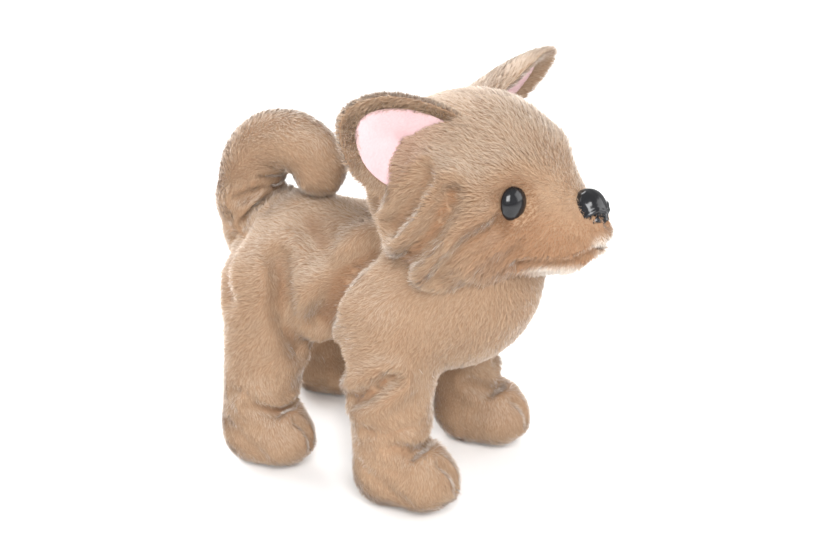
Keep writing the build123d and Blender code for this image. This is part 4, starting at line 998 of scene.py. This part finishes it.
def point_normals(points, quads):
    """A normal for each point, averaged from the quads round it."""
    a, b, c, d = (points[quads[:, corner]] for corner in range(4))
    across = np.cross(c - a, d - b)
    total = np.zeros_like(points)
    for corner in range(4):
        np.add.at(total, quads[:, corner], across)
    return unit(total)


RINGS, STEPS = 16, 44
ROOT_TURN = 0.22  # the ear goes on past its sewn line, into the head
turns = np.linspace(-ROOT_TURN, math.pi + ROOT_TURN, STEPS)
shares = np.sin(np.linspace(0.02, math.pi / 2, RINGS))


def ear_layers(side, outer, puff, shift=0.0):
    """A closed sewn form: front layer from the middle to the rim, then back layer to the middle."""
    far = np.concatenate([shares, shares[::-1][1:]])[:, None] * outer
    level = np.concatenate([np.ones(RINGS), -np.ones(RINGS - 1)])[:, None]
    lift = level * puff * np.sqrt(np.maximum(1 - (far / outer) ** 4, 0)) + shift
    points = ear_point(side, far + 0 * turns, turns + 0 * far, lift + 0 * turns).reshape(-1, 3)
    quads = grid_quads(2 * RINGS - 1, STEPS)
    front_layer = 2 * STEPS + STEPS // 2    # a point well inside it
    if point_normals(points, quads)[front_layer] @ ear_frame(side)[3] < 0:
        quads = quads[:, ::-1]
    return points, quads


# %% Sew the ears
TUCK = 0.05  # the pile and the lining overlap by this share
EAR_DENSER = 1.7
def ear_look(side):
    """Combing, length, lift and colour of one ear's pile."""
    middle, _, out, _ = ear_frame(side)

    def look(roots, facing):
        comb = unit(roots - middle) + 0.6 * out / np.linalg.norm(out)
        # painted light: pile that faces up is painted paler, as if lit from above
        colour = blend_colour(TAN, TOP_LIGHT_TAN, smooth_step(facing[:, 2], -0.6, 0.6))
        return comb, np.full(len(roots), 3.4), 0.55 + 0.12 * lumps(roots, 14, 51), colour
    return look


for side in SIDES:
    points, quads = ear_layers(side, 1.0, EAR_THICK)
    normals = point_normals(points, quads)
    ear = mesh_object(f"{side}_ear_plush", points, [quads])
    ear.data.materials.append(BACKING)
    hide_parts(f"{side}_ear")
    ring = np.repeat(np.arange(2 * RINGS - 2), STEPS - 1)
    furry = (ring >= RINGS - 1) | (shares[np.minimum(ring, RINGS - 1)] > LINING_EDGE - TUCK)
    pile = grow_pile(f"{side}_ear_pile", points, normals, quads[furry], ear_look(side),
                     PILE_DENSITY * EAR_DENSER, 61)
    points, quads = ear_layers(side, LINING_EDGE + TUCK, LINING_THICK, EAR_THICK + 0.2)
    lining = mesh_object(f"{side}_ear_pink_lining", points, [quads])
    lining.data.materials.append(LINING)
    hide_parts(f"{side}_ear_lining")
    for piece in (ear, pile, lining):
        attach(piece, "head")
    print(side, "ear:", len(pile.data.polygons) // 2, "strands")


# %% [markdown]
# ## Eyes and nose
# The eyes are glossy black beads, wider than they are deep, set in their sockets. The nose is
# one moulded piece: rounded above, narrow below, with a middle groove, two nostrils and a fine
# moulded leather texture.

# %% Eyes
EYE_HALF = (7.4, 4.8, 2.4)  # half across, half deep in front, half deep behind
EYE_OUT = 0.6  # how far a bead's middle stands out of the cloth
EYE_BACK = np.array([0, 2.5, -0.5])
EYE_TURN = ((0.35, 1, 0.3), (0, -0.5, 0.05))  # turns the cloth's own facing forwards


def bead_distance(points):
    """A bead with its axis along Z: domed in front and flatter behind."""
    wide = np.hypot(points[:, 0], points[:, 1]) / EYE_HALF[0]
    deep = points[:, 2] / np.where(points[:, 2] > 0, EYE_HALF[1], EYE_HALF[2])
    return (np.hypot(wide, deep) - 1) * EYE_HALF[1]


bead_points, bead_quads = surface_of(bead_distance, (-9, -9, -4), (9, 9, 6), 0.55)
for side, centre in EYES.items():
    place = settle(head_distance, (centre + EYE_BACK)[None], 4)
    _, outward = slope(head_distance, place)
    way = unit(outward * EYE_TURN[0] + EYE_TURN[1])[0]
    turn = Vector(way).to_track_quat("Z", "Y").to_matrix()
    placed = bead_points @ np.array(turn).T + place[0] + EYE_OUT * way
    eye = mesh_object(f"{side}_eye_bead", placed, [bead_quads])
    eye.data.materials.append(FINISHES["gloss_black"])
    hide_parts(f"{side}_eye")
    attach(eye, "head")
print("eye beads:", len(bead_quads), "quads each")


# %% Nose
NOSE_AT = NOSE + (0, -1.2, -3.4)
NOSE_HALF = np.array([8.9, 8.0, 9.2])


def nose_distance(points):
    """A moulded nose round its own middle, facing -Y."""
    narrow = 1 + 0.34 * smooth_step(-points[:, 2], -2, 9)
    wide = points * np.stack([narrow, np.ones(len(points)), np.ones(len(points))], 1)
    d = (np.linalg.norm(wide / NOSE_HALF, axis=1) - 1) * 8
    d = d + fold(points, [(0, -9, 1), (0, -9, -4), (0, -7, -9)], 1.2, 0.9)
    for side in SIDES.values():
        nostril = [(side * 2.8, -8.4, -0.8), (side * 5.4, -7.2, 0.6), (side * 7.8, -4.4, -0.8)]
        d = d + fold(points, nostril, 1.8, 1.1)
    return d + 0.07 * lumps(points, 1.5, 71)


nose_points, nose_quads = surface_of(nose_distance, (-11, -10, -11), (11, 9, 11), 0.45)
nose = mesh_object("moulded_nose", nose_points + NOSE_AT, [nose_quads])
nose.data.materials.append(FINISHES["gloss_black"])
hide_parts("nose")
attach(nose, "head")
print("nose:", len(nose_quads), "quads")


# %% [markdown]
# ## Camera, floor and light
# The toy is seen from its front right, a little from above, in a bright studio: a pale floor, a
# large soft light above and beside the camera, weaker ones ahead of and behind the toy, a wide one
# that keeps the far floor white, and an even white all round.

# %% Camera
AIM = Vector((0, -5, 99.5)) * MM
CAMERA_AT = Vector((-425.5, -250.7, 323.4)) * MM
LENS = 51.5
camera = bpy.data.objects.new("camera", bpy.data.cameras.new("camera"))
camera.data.lens = LENS
camera.location = CAMERA_AT
camera.rotation_mode = "QUATERNION"
camera.rotation_quaternion = (AIM - CAMERA_AT).to_track_quat("-Z", "Y")
bpy.context.scene.collection.objects.link(camera)
bpy.context.scene.camera = camera


# %% Floor and lights
def floor_material():
    """Pale seamless paper with the faintest unevenness."""
    material, tree, shader, grain = new_material("Pale paper floor", MOULDED_GRAIN)
    tree.links.new(ramp(tree, grain.outputs["Wear"], (0.90, 0.90, 0.90), (0.93, 0.93, 0.93)),
                   shader.inputs["Base Color"])
    shader.inputs["Roughness"].default_value = 0.9
    return material


FLOOR_HALF = 8000
corners = np.array([(-1, -1, 0), (1, -1, 0), (1, 1, 0), (-1, 1, 0)]) * FLOOR_HALF
floor = mesh_object("floor", corners, [np.array([[0, 1, 2, 3]])])
floor.data.materials.append(floor_material())


def soft_light(name, place, size, power):
    """A square light that faces the toy."""
    lamp = bpy.data.objects.new(name, bpy.data.lights.new(name, "AREA"))
    lamp.data.size = size * MM
    lamp.data.energy = power
    lamp.location = Vector(place) * MM
    lamp.rotation_mode = "QUATERNION"
    lamp.rotation_quaternion = (AIM - lamp.location).to_track_quat("-Z", "Y")
    bpy.context.scene.collection.objects.link(lamp)


# Each light's place, size and power.
soft_light("key light", (-1000, -700, 1150), 900, 29)
soft_light("fill light", (700, -1100, 600), 900, 6)
soft_light("back light", (-200, 1300, 1100), 1000, 12)
soft_light("backdrop light", (1500, 2600, 1600), 2400, 150)
world = bpy.data.worlds.new("white studio")
world.use_nodes = True
world.node_tree.nodes["Background"].inputs["Color"].default_value = (1, 1, 1, 1)
world.node_tree.nodes["Background"].inputs["Strength"].default_value = 0.5
bpy.context.scene.world = world
bpy.context.scene.view_settings.view_transform = "Standard"
